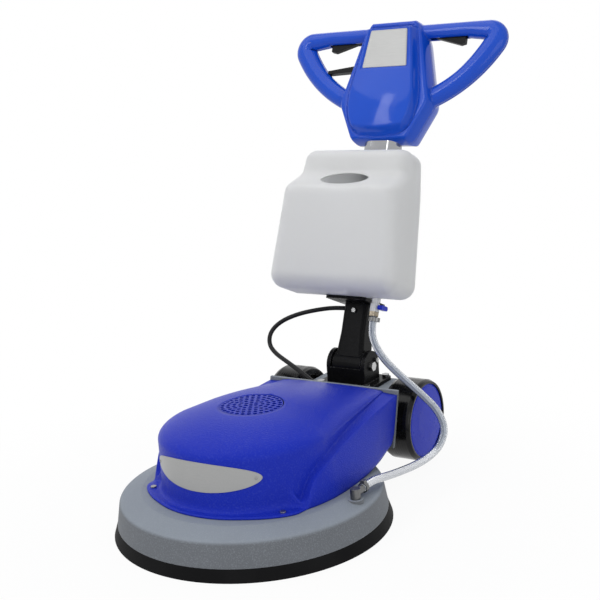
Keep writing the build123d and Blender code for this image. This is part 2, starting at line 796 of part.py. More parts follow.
# Hinge bracket: base plate bolted to the housing, two round-topped cheeks
with BuildPart() as hinge_bracket:
    with BuildSketch(level(HOUSING_TOP_Z)):
        with Locations((0, PIVOT_Y)):
            RectangleRounded(2 * BRACKET_HALF_X, 2 * BRACKET_HALF_Y, BOLT_HEAD_R)
    extrude(amount=BRACKET_BASE_T)
    for side in (-1, 1):
        with BuildSketch(base_side(side * (BARREL_HALF + CHEEK_GAP))):
            with Locations((PIVOT_Y, PIVOT_Z)):
                Circle(CHEEK_R)
            cheek_foot = HOUSING_TOP_Z + BRACKET_BASE_T
            with Locations((PIVOT_Y, (PIVOT_Z + cheek_foot) / 2)):
                Rectangle(2 * CHEEK_R, PIVOT_Z - cheek_foot)
            with Locations((PIVOT_Y, PIVOT_Z)):
                Circle(PIN_R + RUN, mode=Mode.SUBTRACT)
        extrude(amount=side * CHEEK_T)
    with BuildSketch(base_side(-BARREL_HALF - CHEEK_GAP)):
        with Locations((PIVOT_Y - CHEEK_R + FRONT_WALL_T / 2, (PIVOT_Z + HOUSING_TOP_Z) / 2)):
            Rectangle(FRONT_WALL_T, PIVOT_Z - HOUSING_TOP_Z)
    extrude(amount=2 * (BARREL_HALF + CHEEK_GAP))
save(hinge_bracket, "hinge_bracket")

CHEEK_OUT = BARREL_HALF + CHEEK_GAP + CHEEK_T
with BuildPart() as bracket_bolts:
    with BuildSketch(level(HOUSING_TOP_Z + BRACKET_BASE_T)):
        with Locations((0, PIVOT_Y)):
            bolt_inset = BOLT_HEAD_R + BOLT_EDGE
            with GridLocations(2 * (BRACKET_HALF_X - bolt_inset), 2 * (BRACKET_HALF_Y - bolt_inset), 2, 2):
                RegularPolygon(BOLT_HEAD_R, 6)
    extrude(amount=BOLT_HEAD_T)
    for side in (-1, 1):
        with BuildSketch(base_side(side * CHEEK_OUT)):
            with Locations((PIVOT_Y + CHEEK_BOLT_Y, PIVOT_Z + CHEEK_BOLT_Z)):
                RegularPolygon(BOLT_R, 6)
        extrude(amount=side * BOLT_HEAD_T)
save(bracket_bolts, "bracket_bolts")

with BuildPart() as pivot_pin:
    with BuildSketch(base_side(-CHEEK_OUT)):
        with Locations((PIVOT_Y, PIVOT_Z)):
            Circle(PIN_R)
    extrude(amount=2 * CHEEK_OUT)
    for side in (-1, 1):
        with BuildSketch(base_side(side * CHEEK_OUT)):
            with Locations((PIVOT_Y, PIVOT_Z)):
                RegularPolygon(PIN_HEAD_R, 6)
        extrude(amount=side * PIN_HEAD_T)
save(pivot_pin, "pivot_pin")

# Handle post with its hinge barrel, and the shelf that carries the tank and the pole
with BuildPart() as handle_post:
    with BuildSketch(handle_level(0)):
        RectangleRounded(2 * POST_HALF_X, 2 * POST_HALF_D, POST_ROUND)
    extrude(amount=POST_TOP)
    with BuildSketch(handle_level(0)):
        RectangleRounded(2 * BARREL_HALF, 2 * POST_HALF_D, POST_ROUND)
    with BuildSketch(handle_level(POST_FLARE)):
        RectangleRounded(2 * POST_HALF_X, 2 * POST_HALF_D, POST_ROUND)
    loft(ruled=True)
    with BuildSketch(base_side(-BARREL_HALF)):
        with Locations((PIVOT_Y, PIVOT_Z)):
            Circle(BARREL_R)
    extrude(amount=2 * BARREL_HALF)
    with BuildSketch(base_side(-BARREL_HALF)):
        with Locations((PIVOT_Y, PIVOT_Z)):
            Circle(PIN_R + RUN)
    extrude(amount=2 * BARREL_HALF, mode=Mode.SUBTRACT)
    with BuildSketch(handle_level(POST_TOP)):
        Circle(ROD_R + SEAT)
    extrude(amount=ROD_BOTTOM - ROD_TRAVEL - ROD_GAP - POST_TOP, mode=Mode.SUBTRACT)
save(handle_post, "handle_post")

with BuildPart() as post_bolts:
    with BuildSketch(handle_front(POST_HALF_D)):
        with Locations((0, POST_BOLT)):
            RegularPolygon(BOLT_R, 6)
    extrude(amount=BOLT_HEAD_T)
    with BuildSketch(handle_front(-POST_HALF_D)):
        with Locations((0, POST_BOLT)):
            RegularPolygon(BOLT_R, 6)
    extrude(amount=-BOLT_HEAD_T)
save(post_bolts, "post_bolts")

with BuildPart() as cable_grommet:
    with BuildSketch(handle_side(-POST_HALF_X)):
        with Locations((0, -GROMMET)):
            Circle(GROMMET_R)
    extrude(amount=-GROMMET_T)
save(cable_grommet, "cable_grommet")

with BuildPart() as tank_shelf:
    with BuildSketch(handle_level(POST_TOP)):
        with Locations((0, (POST_HALF_D - SHELF_FRONT) / 2)):
            RectangleRounded(2 * SHELF_HALF_X, SHELF_FRONT + POST_HALF_D, POST_ROUND)
    extrude(amount=SHELF_T)
    with BuildSketch(handle_level(SHELF_TOP)):
        SlotOverall(POLE_W - 2 * POLE_WALL - 2 * SEAT, POLE_D - 2 * POLE_WALL - 2 * SEAT)
    extrude(amount=SPIGOT_H)
    with BuildSketch(handle_level(POST_TOP)):
        Circle(ROD_R + SEAT)
    extrude(amount=SHELF_T + SPIGOT_H, mode=Mode.SUBTRACT)
save(tank_shelf, "tank_shelf")

with BuildPart() as pole:
    with BuildSketch(handle_level(SHELF_TOP)):
        SlotOverall(POLE_W, POLE_D)
        SlotOverall(POLE_W - 2 * POLE_WALL, POLE_D - 2 * POLE_WALL, mode=Mode.SUBTRACT)
    extrude(amount=POLE_TOP - SHELF_TOP)
save(pole, "pole")

with BuildPart() as tank_clamp:
    with BuildSketch(handle_level(CLAMP_HEIGHT)):
        SlotOverall(POLE_W + 2 * SEAT + 2 * CLAMP_T, POLE_D + 2 * SEAT + 2 * CLAMP_T)
        with Locations((0, -TANK_BACK / 2)):
            Rectangle(POLE_D, TANK_BACK)
        SlotOverall(POLE_W + 2 * SEAT, POLE_D + 2 * SEAT, mode=Mode.SUBTRACT)
    extrude(amount=CLAMP_H)
save(tank_clamp, "tank_clamp")


def tank_form(inset):
    """Rounded form of the tank, inset all round: front outline cut to a stepped side profile."""
    with BuildPart() as form:
        with BuildSketch(handle_front(TANK_BACK + inset)):
            with BuildLine():
                Polyline(
                    (inset - TANK_BOTTOM_HALF, SHELF_TOP + inset),
                    (TANK_BOTTOM_HALF - inset, SHELF_TOP + inset),
                    (TANK_TOP_HALF - inset, TANK_TOP - inset),
                    (inset - TANK_TOP_HALF, TANK_TOP - inset),
                    close=True,
                )
            outline = make_face()
            fillet(outline.vertices().sort_by(Axis.Y)[:2], TANK_CORNER - inset)
            fillet(outline.vertices().sort_by(Axis.Y)[-2:], TANK_TOP_CORNER - inset)
        extrude(amount=TANK_FRONT - TANK_BACK - 2 * inset)
        with BuildSketch(handle_side(-TANK_BOTTOM_HALF)):
            with BuildLine():
                Polyline(
                    (TANK_UPPER_FRONT - inset, -TANK_TOP),
                    (TANK_UPPER_FRONT - inset, inset - TANK_SHOULDER),
                    (TANK_FRONT - inset, inset - TANK_SHOULDER_LOW),
                    (TANK_FRONT + TANK_ROUND, inset - TANK_SHOULDER_LOW),
                    (TANK_FRONT + TANK_ROUND, -TANK_TOP),
                    close=True,
                )
            make_face()
        extrude(amount=2 * TANK_BOTTOM_HALF, mode=Mode.SUBTRACT)
        out_axis = Axis(handle_point(0, 0, 0), OUT_FRONT)
        front_edges = form.edges().filter_by_position(out_axis, TANK_UPPER_FRONT - inset - BAND, TANK_FRONT)
        back_edges = form.edges().filter_by_position(out_axis, TANK_BACK - BAND, TANK_BACK + inset + BAND)
        fillet(front_edges + back_edges, TANK_ROUND - inset)
    return form


tank_outside = tank_form(0)
tank_inside = tank_form(TANK_WALL)
SHOULDER_RUN = Vector(TANK_FRONT - TANK_UPPER_FRONT, TANK_SHOULDER_LOW - TANK_SHOULDER)
SHOULDER_MIDDLE = handle_point(
    MOUTH_X, (TANK_FRONT + TANK_UPPER_FRONT) / 2, (TANK_SHOULDER_LOW + TANK_SHOULDER) / 2
)
SHOULDER_NORMAL = UP_HANDLE * SHOULDER_RUN.X - OUT_FRONT * SHOULDER_RUN.Y

# Solution tank: blow-moulded shell with an open filler mouth on its sloping shoulder
with BuildPart() as tank:
    add(tank_outside.part)
    add(tank_inside.part, mode=Mode.SUBTRACT)
    with BuildSketch(Plane(SHOULDER_MIDDLE, x_dir=(1, 0, 0), z_dir=SHOULDER_NORMAL)):
        Ellipse(MOUTH_HALF_X, MOUTH_HALF_D)
    extrude(amount=2 * TANK_WALL, both=True, mode=Mode.SUBTRACT)
save(tank, "tank")

# Tap under the tank: body, brass nut, turning T handle
TAP_TOP = SHELF_TOP
TAP_BODY_TOP = TAP_TOP - TAP_STEM_H
TAP_NUT_TOP = TAP_BODY_TOP - TAP_BODY_H
HOSE_TOP = TAP_NUT_TOP - TAP_NUT_H
KNOB_HEIGHT = TAP_BODY_TOP - TAP_BODY_H / 2
KNOB_FACE_X = TAP_X + TAP_BODY_R

with BuildPart() as tap_body:
    with BuildSketch(handle_level(TAP_TOP)):
        with Locations((TAP_X, -TAP_D)):
            Circle(TAP_STEM_R)
    extrude(amount=-TAP_STEM_H)
    with BuildSketch(handle_level(TAP_BODY_TOP)):
        with Locations((TAP_X, -TAP_D)):
            Circle(TAP_BODY_R)
    extrude(amount=-TAP_BODY_H)
save(tap_body, "tap_body")

with BuildPart() as tap_nut:
    with BuildSketch(handle_level(TAP_NUT_TOP)):
        with Locations((TAP_X, -TAP_D)):
            RegularPolygon(TAP_NUT_R, 6)
    extrude(amount=-TAP_NUT_H)
save(tap_nut, "tap_nut")

with BuildPart() as tap_handle:
    with BuildSketch(handle_side(KNOB_FACE_X + SEAT)):
        with Locations((TAP_D, -KNOB_HEIGHT)):
            Circle(KNOB_STEM_R)
    extrude(amount=KNOB_REACH)
    with BuildSketch(handle_side(KNOB_FACE_X + SEAT + KNOB_REACH - 2 * KNOB_R)):
        with Locations((TAP_D, -KNOB_HEIGHT)):
            SlotOverall(2 * KNOB_HALF, 2 * KNOB_R)
    extrude(amount=2 * KNOB_R)
save(tap_handle, "tap_handle")

# Elbow that leads the solution through the deck
with BuildPart() as hose_elbow:
    with BuildSketch(level(ELBOW_BOSS_Z)):
        with Locations((ELBOW_X, ELBOW_Y)):
            Circle(ELBOW_R)
    extrude(amount=ELBOW_Z + ELBOW_R - ELBOW_BOSS_Z)
    with BuildSketch(base_front(ELBOW_Y)):
        with Locations((ELBOW_X, ELBOW_Z)):
            Circle(HOSE_D / 2)
    extrude(amount=-ELBOW_REACH)
save(hose_elbow, "hose_elbow")


def cord_radii(points):
    """Arc radius at each inner point: a share of the shorter run over the tangent of half the turn."""
    runs = [b - a for a, b in zip(points, points[1:])]
    return [
        ARC_SHARE * min(a.length, b.length) / tan(radians(a.get_angle(b)) / 2) for a, b in zip(runs, runs[1:])
    ]


def cord_tube(points, diameter):
    """Round cord along straight runs joined by tangent arcs."""
    with BuildPart() as cord:
        with BuildLine():
            route = FilletPolyline(*points, radius=cord_radii(points))
        with BuildSketch(Plane(points[0], z_dir=points[1] - points[0])):
            Circle(diameter / 2)
        sweep(path=route)
    section = pi * diameter**2 / 4
    print(f"cord {diameter}: length {route.length:.0f}, radii", [round(r) for r in cord_radii(points)])
    print(f"  volume {cord.part.volume:.0f}, section times length {section * route.length:.0f}")
    return cord


def base_points(*places):
    """Points given from the brush axis on the floor."""
    return [Vector(x, DECK_Y + y, z) for x, y, z in places]


# Clear hose from the tap round the right wheel to the deck elbow
HOSE_START = handle_point(TAP_X, TAP_D, HOSE_TOP)
hose_route = [HOSE_START, HOSE_START - UP_HANDLE * HOSE_LEAD]
hose_route += base_points(
    (84, 325, 236),
    (110, 318, 208),
    (143, 311, 178),
    (175, 308, 151),
    (200, 313, 124),
    (212, 314, 96),
    (215, 298, 73),
    (214, 268, 63),
    (213, 210, 62),
    (210, 130, 68),
    (206, 80, 77),
    (ELBOW_X, ELBOW_Y + ELBOW_REACH + HOSE_LEAD, ELBOW_Z),
    (ELBOW_X, ELBOW_Y + ELBOW_REACH, ELBOW_Z),
)
solution_hose = cord_tube(hose_route, HOSE_D)
save(solution_hose, "solution_hose")


def hose_clamp(plane):
    """Band round the hose with its screw block."""
    with BuildPart() as clamp:
        with BuildSketch(plane):
            Circle(HOSE_D / 2 + SEAT + HOSE_CLAMP_T)
            with Locations((HOSE_D / 2 + HOSE_CLAMP_T, 0)):
                Rectangle(HOSE_CLAMP_LUG, HOSE_CLAMP_LUG)
            Circle(HOSE_D / 2 + SEAT, mode=Mode.SUBTRACT)
        extrude(amount=HOSE_CLAMP_W)
    return clamp


upper_seat = HOSE_START - UP_HANDLE * (HOSE_CLAMP_W + HOSE_CLAMP_SET)
upper_hose_clamp = hose_clamp(Plane(upper_seat, x_dir=(1, 0, 0), z_dir=UP_HANDLE))
save(upper_hose_clamp, "upper_hose_clamp")
lower_seat = Vector(ELBOW_X, DECK_Y + ELBOW_Y + ELBOW_REACH + HOSE_CLAMP_SET, ELBOW_Z)
lower_hose_clamp = hose_clamp(Plane(lower_seat, x_dir=(0, 0, 1), z_dir=(0, 1, 0)))
save(lower_hose_clamp, "lower_hose_clamp")

# Motor cable from the post grommet to the gland behind the cover
with BuildPart() as cable_gland:
    with BuildSketch(base_side(GLAND_FACE_X)):
        with Locations((GLAND_Y, GLAND_Z)):
            Circle(GLAND_R)
        with Locations((GLAND_Y, (GLAND_Z + HOUSING_TOP_Z) / 2)):
            Rectangle(2 * GLAND_R, GLAND_Z - HOUSING_TOP_Z)
    extrude(amount=GLAND_L)
save(cable_gland, "cable_gland")

CABLE_START = handle_point(-POST_HALF_X - GROMMET_T, 0, GROMMET)
cable_route = [CABLE_START, CABLE_START - Vector(CABLE_LEAD, 0, 0)]
cable_route += base_points(
    (-98, 398, 274),
    (-137, 386, 265),
    (-170, 373, 250),
    (-187, 360, 230),
    (-184, 348, 208),
    (-163, 338, 193),
    (-126, 326, 181),
    (-84, 312, 167),
    (GLAND_FACE_X - CABLE_LEAD, GLAND_Y, GLAND_Z),
    (GLAND_FACE_X, GLAND_Y, GLAND_Z),
)
motor_cable = cord_tube(cable_route, CABLE_D)
save(motor_cable, "motor_cable")


def head_outline(out, inset):
    """Front outline of the control head at a depth, inset all round."""
    half = [
        (HEAD_TOP_HALF - inset, HEAD_TOP - inset),
        (HEAD_NECK_HALF - inset, HEAD_NECK),
        (HEAD_WAIST_HALF - inset, HEAD_WAIST),
        (HEAD_BOTTOM_HALF - inset, HEAD_BOTTOM + inset),
    ]
    with BuildSketch(handle_front(out)) as outline:
        with BuildLine():
            Polyline(*half, *[(-x, y) for x, y in reversed(half)], close=True)
        make_face()
        fillet(outline.vertices(), HEAD_CORNER)
    return outline.sketch.face()


def head_half(out, taper, inset):
    """Outlines of one half of the head, at the parting plane and out from it, drawn in by the taper."""
    return [head_outline(0, inset), head_outline(out, inset + abs(out) * tan(radians(taper)))]


def panel_outline(out, inset):
    """Outline of the raised front panel at a depth, with a bowed lower edge, inset all round."""
    half = [
        (PANEL_TOP_HALF - inset, PANEL_TOP - inset),
        (PANEL_WAIST_HALF - inset, PANEL_WAIST),
        (PANEL_BOTTOM_HALF - inset, PANEL_BOTTOM + inset),
    ]
    other_half = [(-x, y) for x, y in reversed(half)]
    with BuildSketch(handle_front(out)) as outline:
        with BuildLine():
            Polyline(*other_half, *half)
            ThreePointArc(half[-1], (0, PANEL_BOTTOM + inset - PANEL_BOW), other_half[0])
        make_face()
    return outline.sketch.face()


def head_panel(inset):
    """Outlines of the raised panel at its foot and its front, set back and in by the inset."""
    foot = HEAD_FRONT - inset
    return [
        panel_outline(foot, inset),
        panel_outline(foot + PANEL_H, inset + PANEL_H * tan(radians(PANEL_TAPER))),
    ]


def grip_loop():
    """Round grip: straight top bar, tight outer bend, long bow back to the waist of the head."""
    with BuildPart() as grip:
        with BuildLine(handle_front(0)) as route:
            Line((GRIP_ROOT_X, GRIP_HEIGHT), (GRIP_BEND_X, GRIP_HEIGHT))
            bend = JernArc((GRIP_BEND_X, GRIP_HEIGHT), (1, 0), GRIP_BEND_R, -GRIP_BEND_ANGLE)
            TangentArc(bend @ 1, (GRIP_LOW_X, GRIP_LOW), tangent=bend % 1)
        with BuildSketch(Plane(handle_point(GRIP_ROOT_X, 0, GRIP_HEIGHT), z_dir=(1, 0, 0))):
            Circle(GRIP_R)
        sweep(path=route.line)
    return grip


def lever_slot(x_low, x_high, low, high, half_d):
    """Box across the head parting plane, given along the handle."""
    with BuildPart() as slot:
        with BuildSketch(handle_front(-half_d)):
            with Locations(((x_low + x_high) / 2, (low + high) / 2)):
                Rectangle(x_high - x_low, high - low)
        extrude(amount=2 * half_d)
    return slot


grip_right = grip_loop()
switch_slot = lever_slot(
    LEVER_PIVOT_X - LEVER_BACK - 3 * SIDE,
    LEVER_TIP_X + LEVER_BACK,
    GRIP_HEIGHT - 2 * GRIP_R,
    SLOT_TOP,
    LEVER_HALF_D + SIDE,
)
release_slot = lever_slot(
    -HEAD_WAIST_HALF,
    RELEASE_PIVOT_X,
    RELEASE_PIVOT - RELEASE_SLOT_LOW,
    RELEASE_PIVOT + RELEASE_SLOT_HIGH,
    RELEASE_HALF_D + SIDE,
)

# Control head, whole: hollow body, raised panel and two grips, to be parted into two shells
with BuildPart() as head:
    loft(head_half(HEAD_FRONT, HEAD_FRONT_TAPER, 0), ruled=True)
    loft(head_half(-HEAD_REAR, HEAD_REAR_TAPER, 0), ruled=True)
    depth_axis = Axis(handle_point(0, 0, 0), OUT_FRONT)
    fillet(head.edges().filter_by_position(depth_axis, HEAD_FRONT - BAND, HEAD_FRONT + BAND), HEAD_ROUND)
    loft(head_panel(0), ruled=True)
    panel_face = head.faces().sort_by(depth_axis)[-1]
    fillet(panel_face.edges(), PANEL_ROUND)
    add(grip_right.part)
    mirror(grip_right.part, about=Plane.YZ)
    loft(head_half(HEAD_FRONT - HEAD_WALL, HEAD_FRONT_TAPER, HEAD_WALL), ruled=True, mode=Mode.SUBTRACT)
    loft(head_half(HEAD_WALL - HEAD_REAR, HEAD_REAR_TAPER, HEAD_WALL), ruled=True, mode=Mode.SUBTRACT)
    loft(head_panel(HEAD_WALL), ruled=True, mode=Mode.SUBTRACT)
    with BuildSketch(handle_level(HEAD_BOTTOM - HEAD_WALL)):
        SlotOverall(POLE_W + 2 * SEAT, POLE_D + 2 * SEAT)
    extrude(amount=POLE_TOP - HEAD_BOTTOM + HEAD_WALL, mode=Mode.SUBTRACT)
    add(switch_slot.part, mode=Mode.SUBTRACT)
    mirror(switch_slot.part, about=Plane.YZ, mode=Mode.SUBTRACT)
    add(release_slot.part, mode=Mode.SUBTRACT)
    with BuildSketch(handle_front(-LEVER_PIN_HALF)):
        for side in (-1, 1):
            with Locations((side * LEVER_PIVOT_X, LEVER_PIVOT)):
                Circle(LEVER_PIN_R + RUN)
    extrude(amount=2 * LEVER_PIN_HALF, mode=Mode.SUBTRACT)

with BuildPart() as head_front_shell:
    add(head.part)
    split(bisect_by=handle_front(0), keep=Keep.TOP)
save(head_front_shell, "head_front_shell")

with BuildPart() as head_rear_shell:
    add(head.part)
    split(bisect_by=handle_front(0), keep=Keep.BOTTOM)
save(head_rear_shell, "head_rear_shell")

with BuildPart() as head_label:
    with BuildSketch(handle_front(HEAD_FRONT + PANEL_H)):
        with BuildLine():
            Polyline(
                (-LABEL_BOTTOM_HALF, LABEL_BOTTOM),
                (LABEL_BOTTOM_HALF, LABEL_BOTTOM),
                (LABEL_TOP_HALF, LABEL_TOP),
                (-LABEL_TOP_HALF, LABEL_TOP),
                close=True,
            )
        make_face()
    extrude(amount=LABEL_T)
save(head_label, "head_label")

with BuildPart() as head_screws:
    with BuildSketch(handle_front(-HEAD_REAR)):
        with Locations((0, HEAD_SCREW_LOW)):
            with GridLocations(2 * HEAD_SCREW_X, 0, 2, 1):
                Circle(SCREW_HEAD_R)
        with Locations((0, HEAD_SCREW_HIGH)):
            with GridLocations(2 * HEAD_SCREW_X, 0, 2, 1):
                Circle(SCREW_HEAD_R)
    extrude(amount=-SCREW_HEAD_T)
save(head_screws, "head_screws")

with BuildPart() as mains_gland:
    with BuildSketch(handle_front(-HEAD_REAR)):
        with Locations((0, MAINS_GLAND)):
            Circle(GLAND_R)
            Circle(CABLE_D / 2, mode=Mode.SUBTRACT)
    extrude(amount=-GLAND_L)
save(mains_gland, "mains_gland")

with BuildPart() as switch_block:
    with BuildSketch(handle_front(HEAD_WALL - HEAD_REAR)):
        with Locations((0, SWITCH_HEIGHT)):
            Rectangle(SWITCH_W, SWITCH_H)
    extrude(amount=SWITCH_D)
save(switch_block, "switch_block")

with BuildPart() as lever_pins:
    with BuildSketch(handle_front(-LEVER_PIN_HALF)):
        for side in (-1, 1):
            with Locations((side * LEVER_PIVOT_X, LEVER_PIVOT)):
                Circle(LEVER_PIN_R)
    extrude(amount=2 * LEVER_PIN_HALF)
    with BuildSketch(handle_front(HEAD_WALL - HEAD_REAR)):
        with Locations((RELEASE_PIVOT_X, RELEASE_PIVOT)):
            Circle(LEVER_PIN_R)
    extrude(amount=HEAD_REAR + HEAD_FRONT - 2 * HEAD_WALL)
save(lever_pins, "lever_pins")

# Switch levers under the top bars, deeper towards their outer ends
for side, which in ((-1, "left"), (1, "right")):
    with BuildPart() as switch_lever:
        with BuildSketch(handle_front(-LEVER_HALF_D)):
            with BuildLine():
                Polyline(
                    (side * (LEVER_PIVOT_X - LEVER_BACK), LEVER_PIVOT - LEVER_BACK),
                    (side * (LEVER_PIVOT_X - LEVER_BACK), LEVER_PIVOT + LEVER_BACK),
                    (side * (LEVER_PIVOT_X + LEVER_BACK), LEVER_PIVOT + LEVER_BACK),
                    (side * LEVER_TIP_X, LEVER_PIVOT - LEVER_TIP_TOP),
                    (side * LEVER_TIP_X, LEVER_PIVOT - LEVER_DROP + LEVER_BACK / 2),
                    (side * (LEVER_TIP_X - 2 * LEVER_BACK), LEVER_PIVOT - LEVER_DROP),
                    (side * (LEVER_PIVOT_X + LEVER_BACK), LEVER_PIVOT - 2 * LEVER_BACK),
                    close=True,
                )
            make_face()
            with Locations((side * LEVER_PIVOT_X, LEVER_PIVOT)):
                Circle(LEVER_PIN_R + RUN, mode=Mode.SUBTRACT)
        extrude(amount=2 * LEVER_HALF_D)
    save(switch_lever, f"switch_lever_{which}")

# Tilt release lever in the left loop, and the rod that it pushes down the pole
with BuildPart() as release_lever:
    with BuildSketch(handle_front(-RELEASE_HALF_D)):
        with BuildLine():
            Polyline(
                (RELEASE_INNER_X, RELEASE_PIVOT - RELEASE_T / 2),
                (RELEASE_INNER_X, RELEASE_PIVOT + RELEASE_T / 2),
                (RELEASE_PIVOT_X, RELEASE_PIVOT + RELEASE_T),
                (RELEASE_TIP_X, RELEASE_PIVOT - RELEASE_T / 2),
                (RELEASE_TIP_X, RELEASE_PIVOT - 3 * RELEASE_T / 2),
                (RELEASE_PIVOT_X, RELEASE_PIVOT - RELEASE_T),
                close=True,
            )
        make_face()
        with Locations((RELEASE_PIVOT_X, RELEASE_PIVOT)):
            Circle(LEVER_PIN_R + RUN, mode=Mode.SUBTRACT)
    extrude(amount=2 * RELEASE_HALF_D)
save(release_lever, "release_lever")

with BuildPart() as lock_rod:
    with BuildSketch(handle_level(ROD_BOTTOM)):
        Circle(ROD_R)
    extrude(amount=RELEASE_PIVOT - RELEASE_T / 2 - ROD_GAP - ROD_BOTTOM)
save(lock_rod, "lock_rod")
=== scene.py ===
# Looks of the single-disc carpet cleaning machine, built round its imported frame.
# Metres, +Z up, the front faces -Y. Places come from the frame, or along the handle from its pivot.
import json
from math import cos, pi, radians, sin

import bmesh
import bpy
import numpy as np
from mathutils import Matrix, Vector


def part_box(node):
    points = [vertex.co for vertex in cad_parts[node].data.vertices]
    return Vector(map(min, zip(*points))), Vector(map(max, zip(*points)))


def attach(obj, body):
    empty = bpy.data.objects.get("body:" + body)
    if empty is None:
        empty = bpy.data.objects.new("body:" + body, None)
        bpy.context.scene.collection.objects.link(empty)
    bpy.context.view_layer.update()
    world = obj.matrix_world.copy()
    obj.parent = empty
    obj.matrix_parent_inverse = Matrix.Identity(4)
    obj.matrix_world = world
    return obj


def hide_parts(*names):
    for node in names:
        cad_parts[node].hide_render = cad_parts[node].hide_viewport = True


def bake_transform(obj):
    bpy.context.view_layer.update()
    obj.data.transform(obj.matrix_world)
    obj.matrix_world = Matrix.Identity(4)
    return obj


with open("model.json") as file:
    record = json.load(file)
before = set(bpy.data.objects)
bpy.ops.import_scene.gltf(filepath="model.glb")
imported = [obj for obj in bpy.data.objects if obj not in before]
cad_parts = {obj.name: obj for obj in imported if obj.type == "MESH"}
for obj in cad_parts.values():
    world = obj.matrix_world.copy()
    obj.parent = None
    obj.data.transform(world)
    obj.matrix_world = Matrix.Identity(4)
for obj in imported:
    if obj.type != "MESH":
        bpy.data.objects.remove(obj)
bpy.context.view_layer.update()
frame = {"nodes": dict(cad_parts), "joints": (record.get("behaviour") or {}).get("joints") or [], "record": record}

MM = 0.001

# The frame's own places: brush axis on the floor, handle pivot, and the two directions of the handle
joints = {joint["name"]: joint for joint in frame["joints"]}
skirt_low, skirt_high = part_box("skirt")
DECK = np.array([(skirt_low.x + skirt_high.x) / 2, (skirt_low.y + skirt_high.y) / 2, 0.0])
PIVOT = np.array(joints["handle_tilt"]["pos_m"], float)
UP_HANDLE = -np.array(joints["lock_rod_slide"]["axis"], float)
OUT_FRONT = np.array([0.0, -UP_HANDLE[2], UP_HANDLE[1]])
RIGHT = np.array([1.0, 0.0, 0.0])


def on_base(x, y, z):
    """Point given in metres from the brush axis on the floor."""
    return DECK + np.array([x, y, z])


def on_handle(x, out, up):
    """Point given in metres along the handle: x to the right, out to the front, up from the pivot."""
    return PIVOT + x * RIGHT + out * OUT_FRONT + up * UP_HANDLE


# Camera at the photograph's angle
CAMERA_PLACE = on_base(1.0545, -1.4392, 0.7735)
CAMERA_AZIMUTH = radians(32.9)
CAMERA_HEIGHT_ANGLE = radians(12.4)
CAMERA_ROLL = radians(-3.8)
CAMERA_LENS = 66.0


def photo_camera():
    """Camera turned by azimuth, height angle and roll: its columns are right, up and back."""
    level = cos(CAMERA_HEIGHT_ANGLE)
    back = Vector((sin(CAMERA_AZIMUTH) * level, -cos(CAMERA_AZIMUTH) * level, sin(CAMERA_HEIGHT_ANGLE)))
    right = Vector((cos(CAMERA_AZIMUTH), sin(CAMERA_AZIMUTH), 0))
    up = back.cross(right)
    rolled_right = cos(CAMERA_ROLL) * right + sin(CAMERA_ROLL) * up
    rolled_up = cos(CAMERA_ROLL) * up - sin(CAMERA_ROLL) * right
    data = bpy.data.cameras.new("photo_camera")
    data.lens = CAMERA_LENS
    data.sensor_width = 36.0
    camera = bpy.data.objects.new("photo_camera", data)
    turn = Matrix((rolled_right, rolled_up, back)).transposed()
    camera.matrix_world = Matrix.Translation(CAMERA_PLACE) @ turn.to_4x4()
    bpy.context.scene.collection.objects.link(camera)
    bpy.context.scene.camera = camera


class Wire:
    """An output socket that takes part in sums: each operator adds one Math node to its tree."""

    def __init__(self, paint, socket):
        self.paint = paint
        self.socket = socket

    def sum(self, operation, first, second):
        return self.paint.node("ShaderNodeMath", {"operation": operation}, {0: first, 1: second})

    def __add__(self, other):
        return self.sum("ADD", self, other)

    def __radd__(self, other):
        return self.sum("ADD", other, self)

    def __sub__(self, other):
        return self.sum("SUBTRACT", self, other)

    def __rsub__(self, other):
        return self.sum("SUBTRACT", other, self)

    def __mul__(self, other):
        return self.sum("MULTIPLY", self, other)

    def __rmul__(self, other):
        return self.sum("MULTIPLY", other, self)


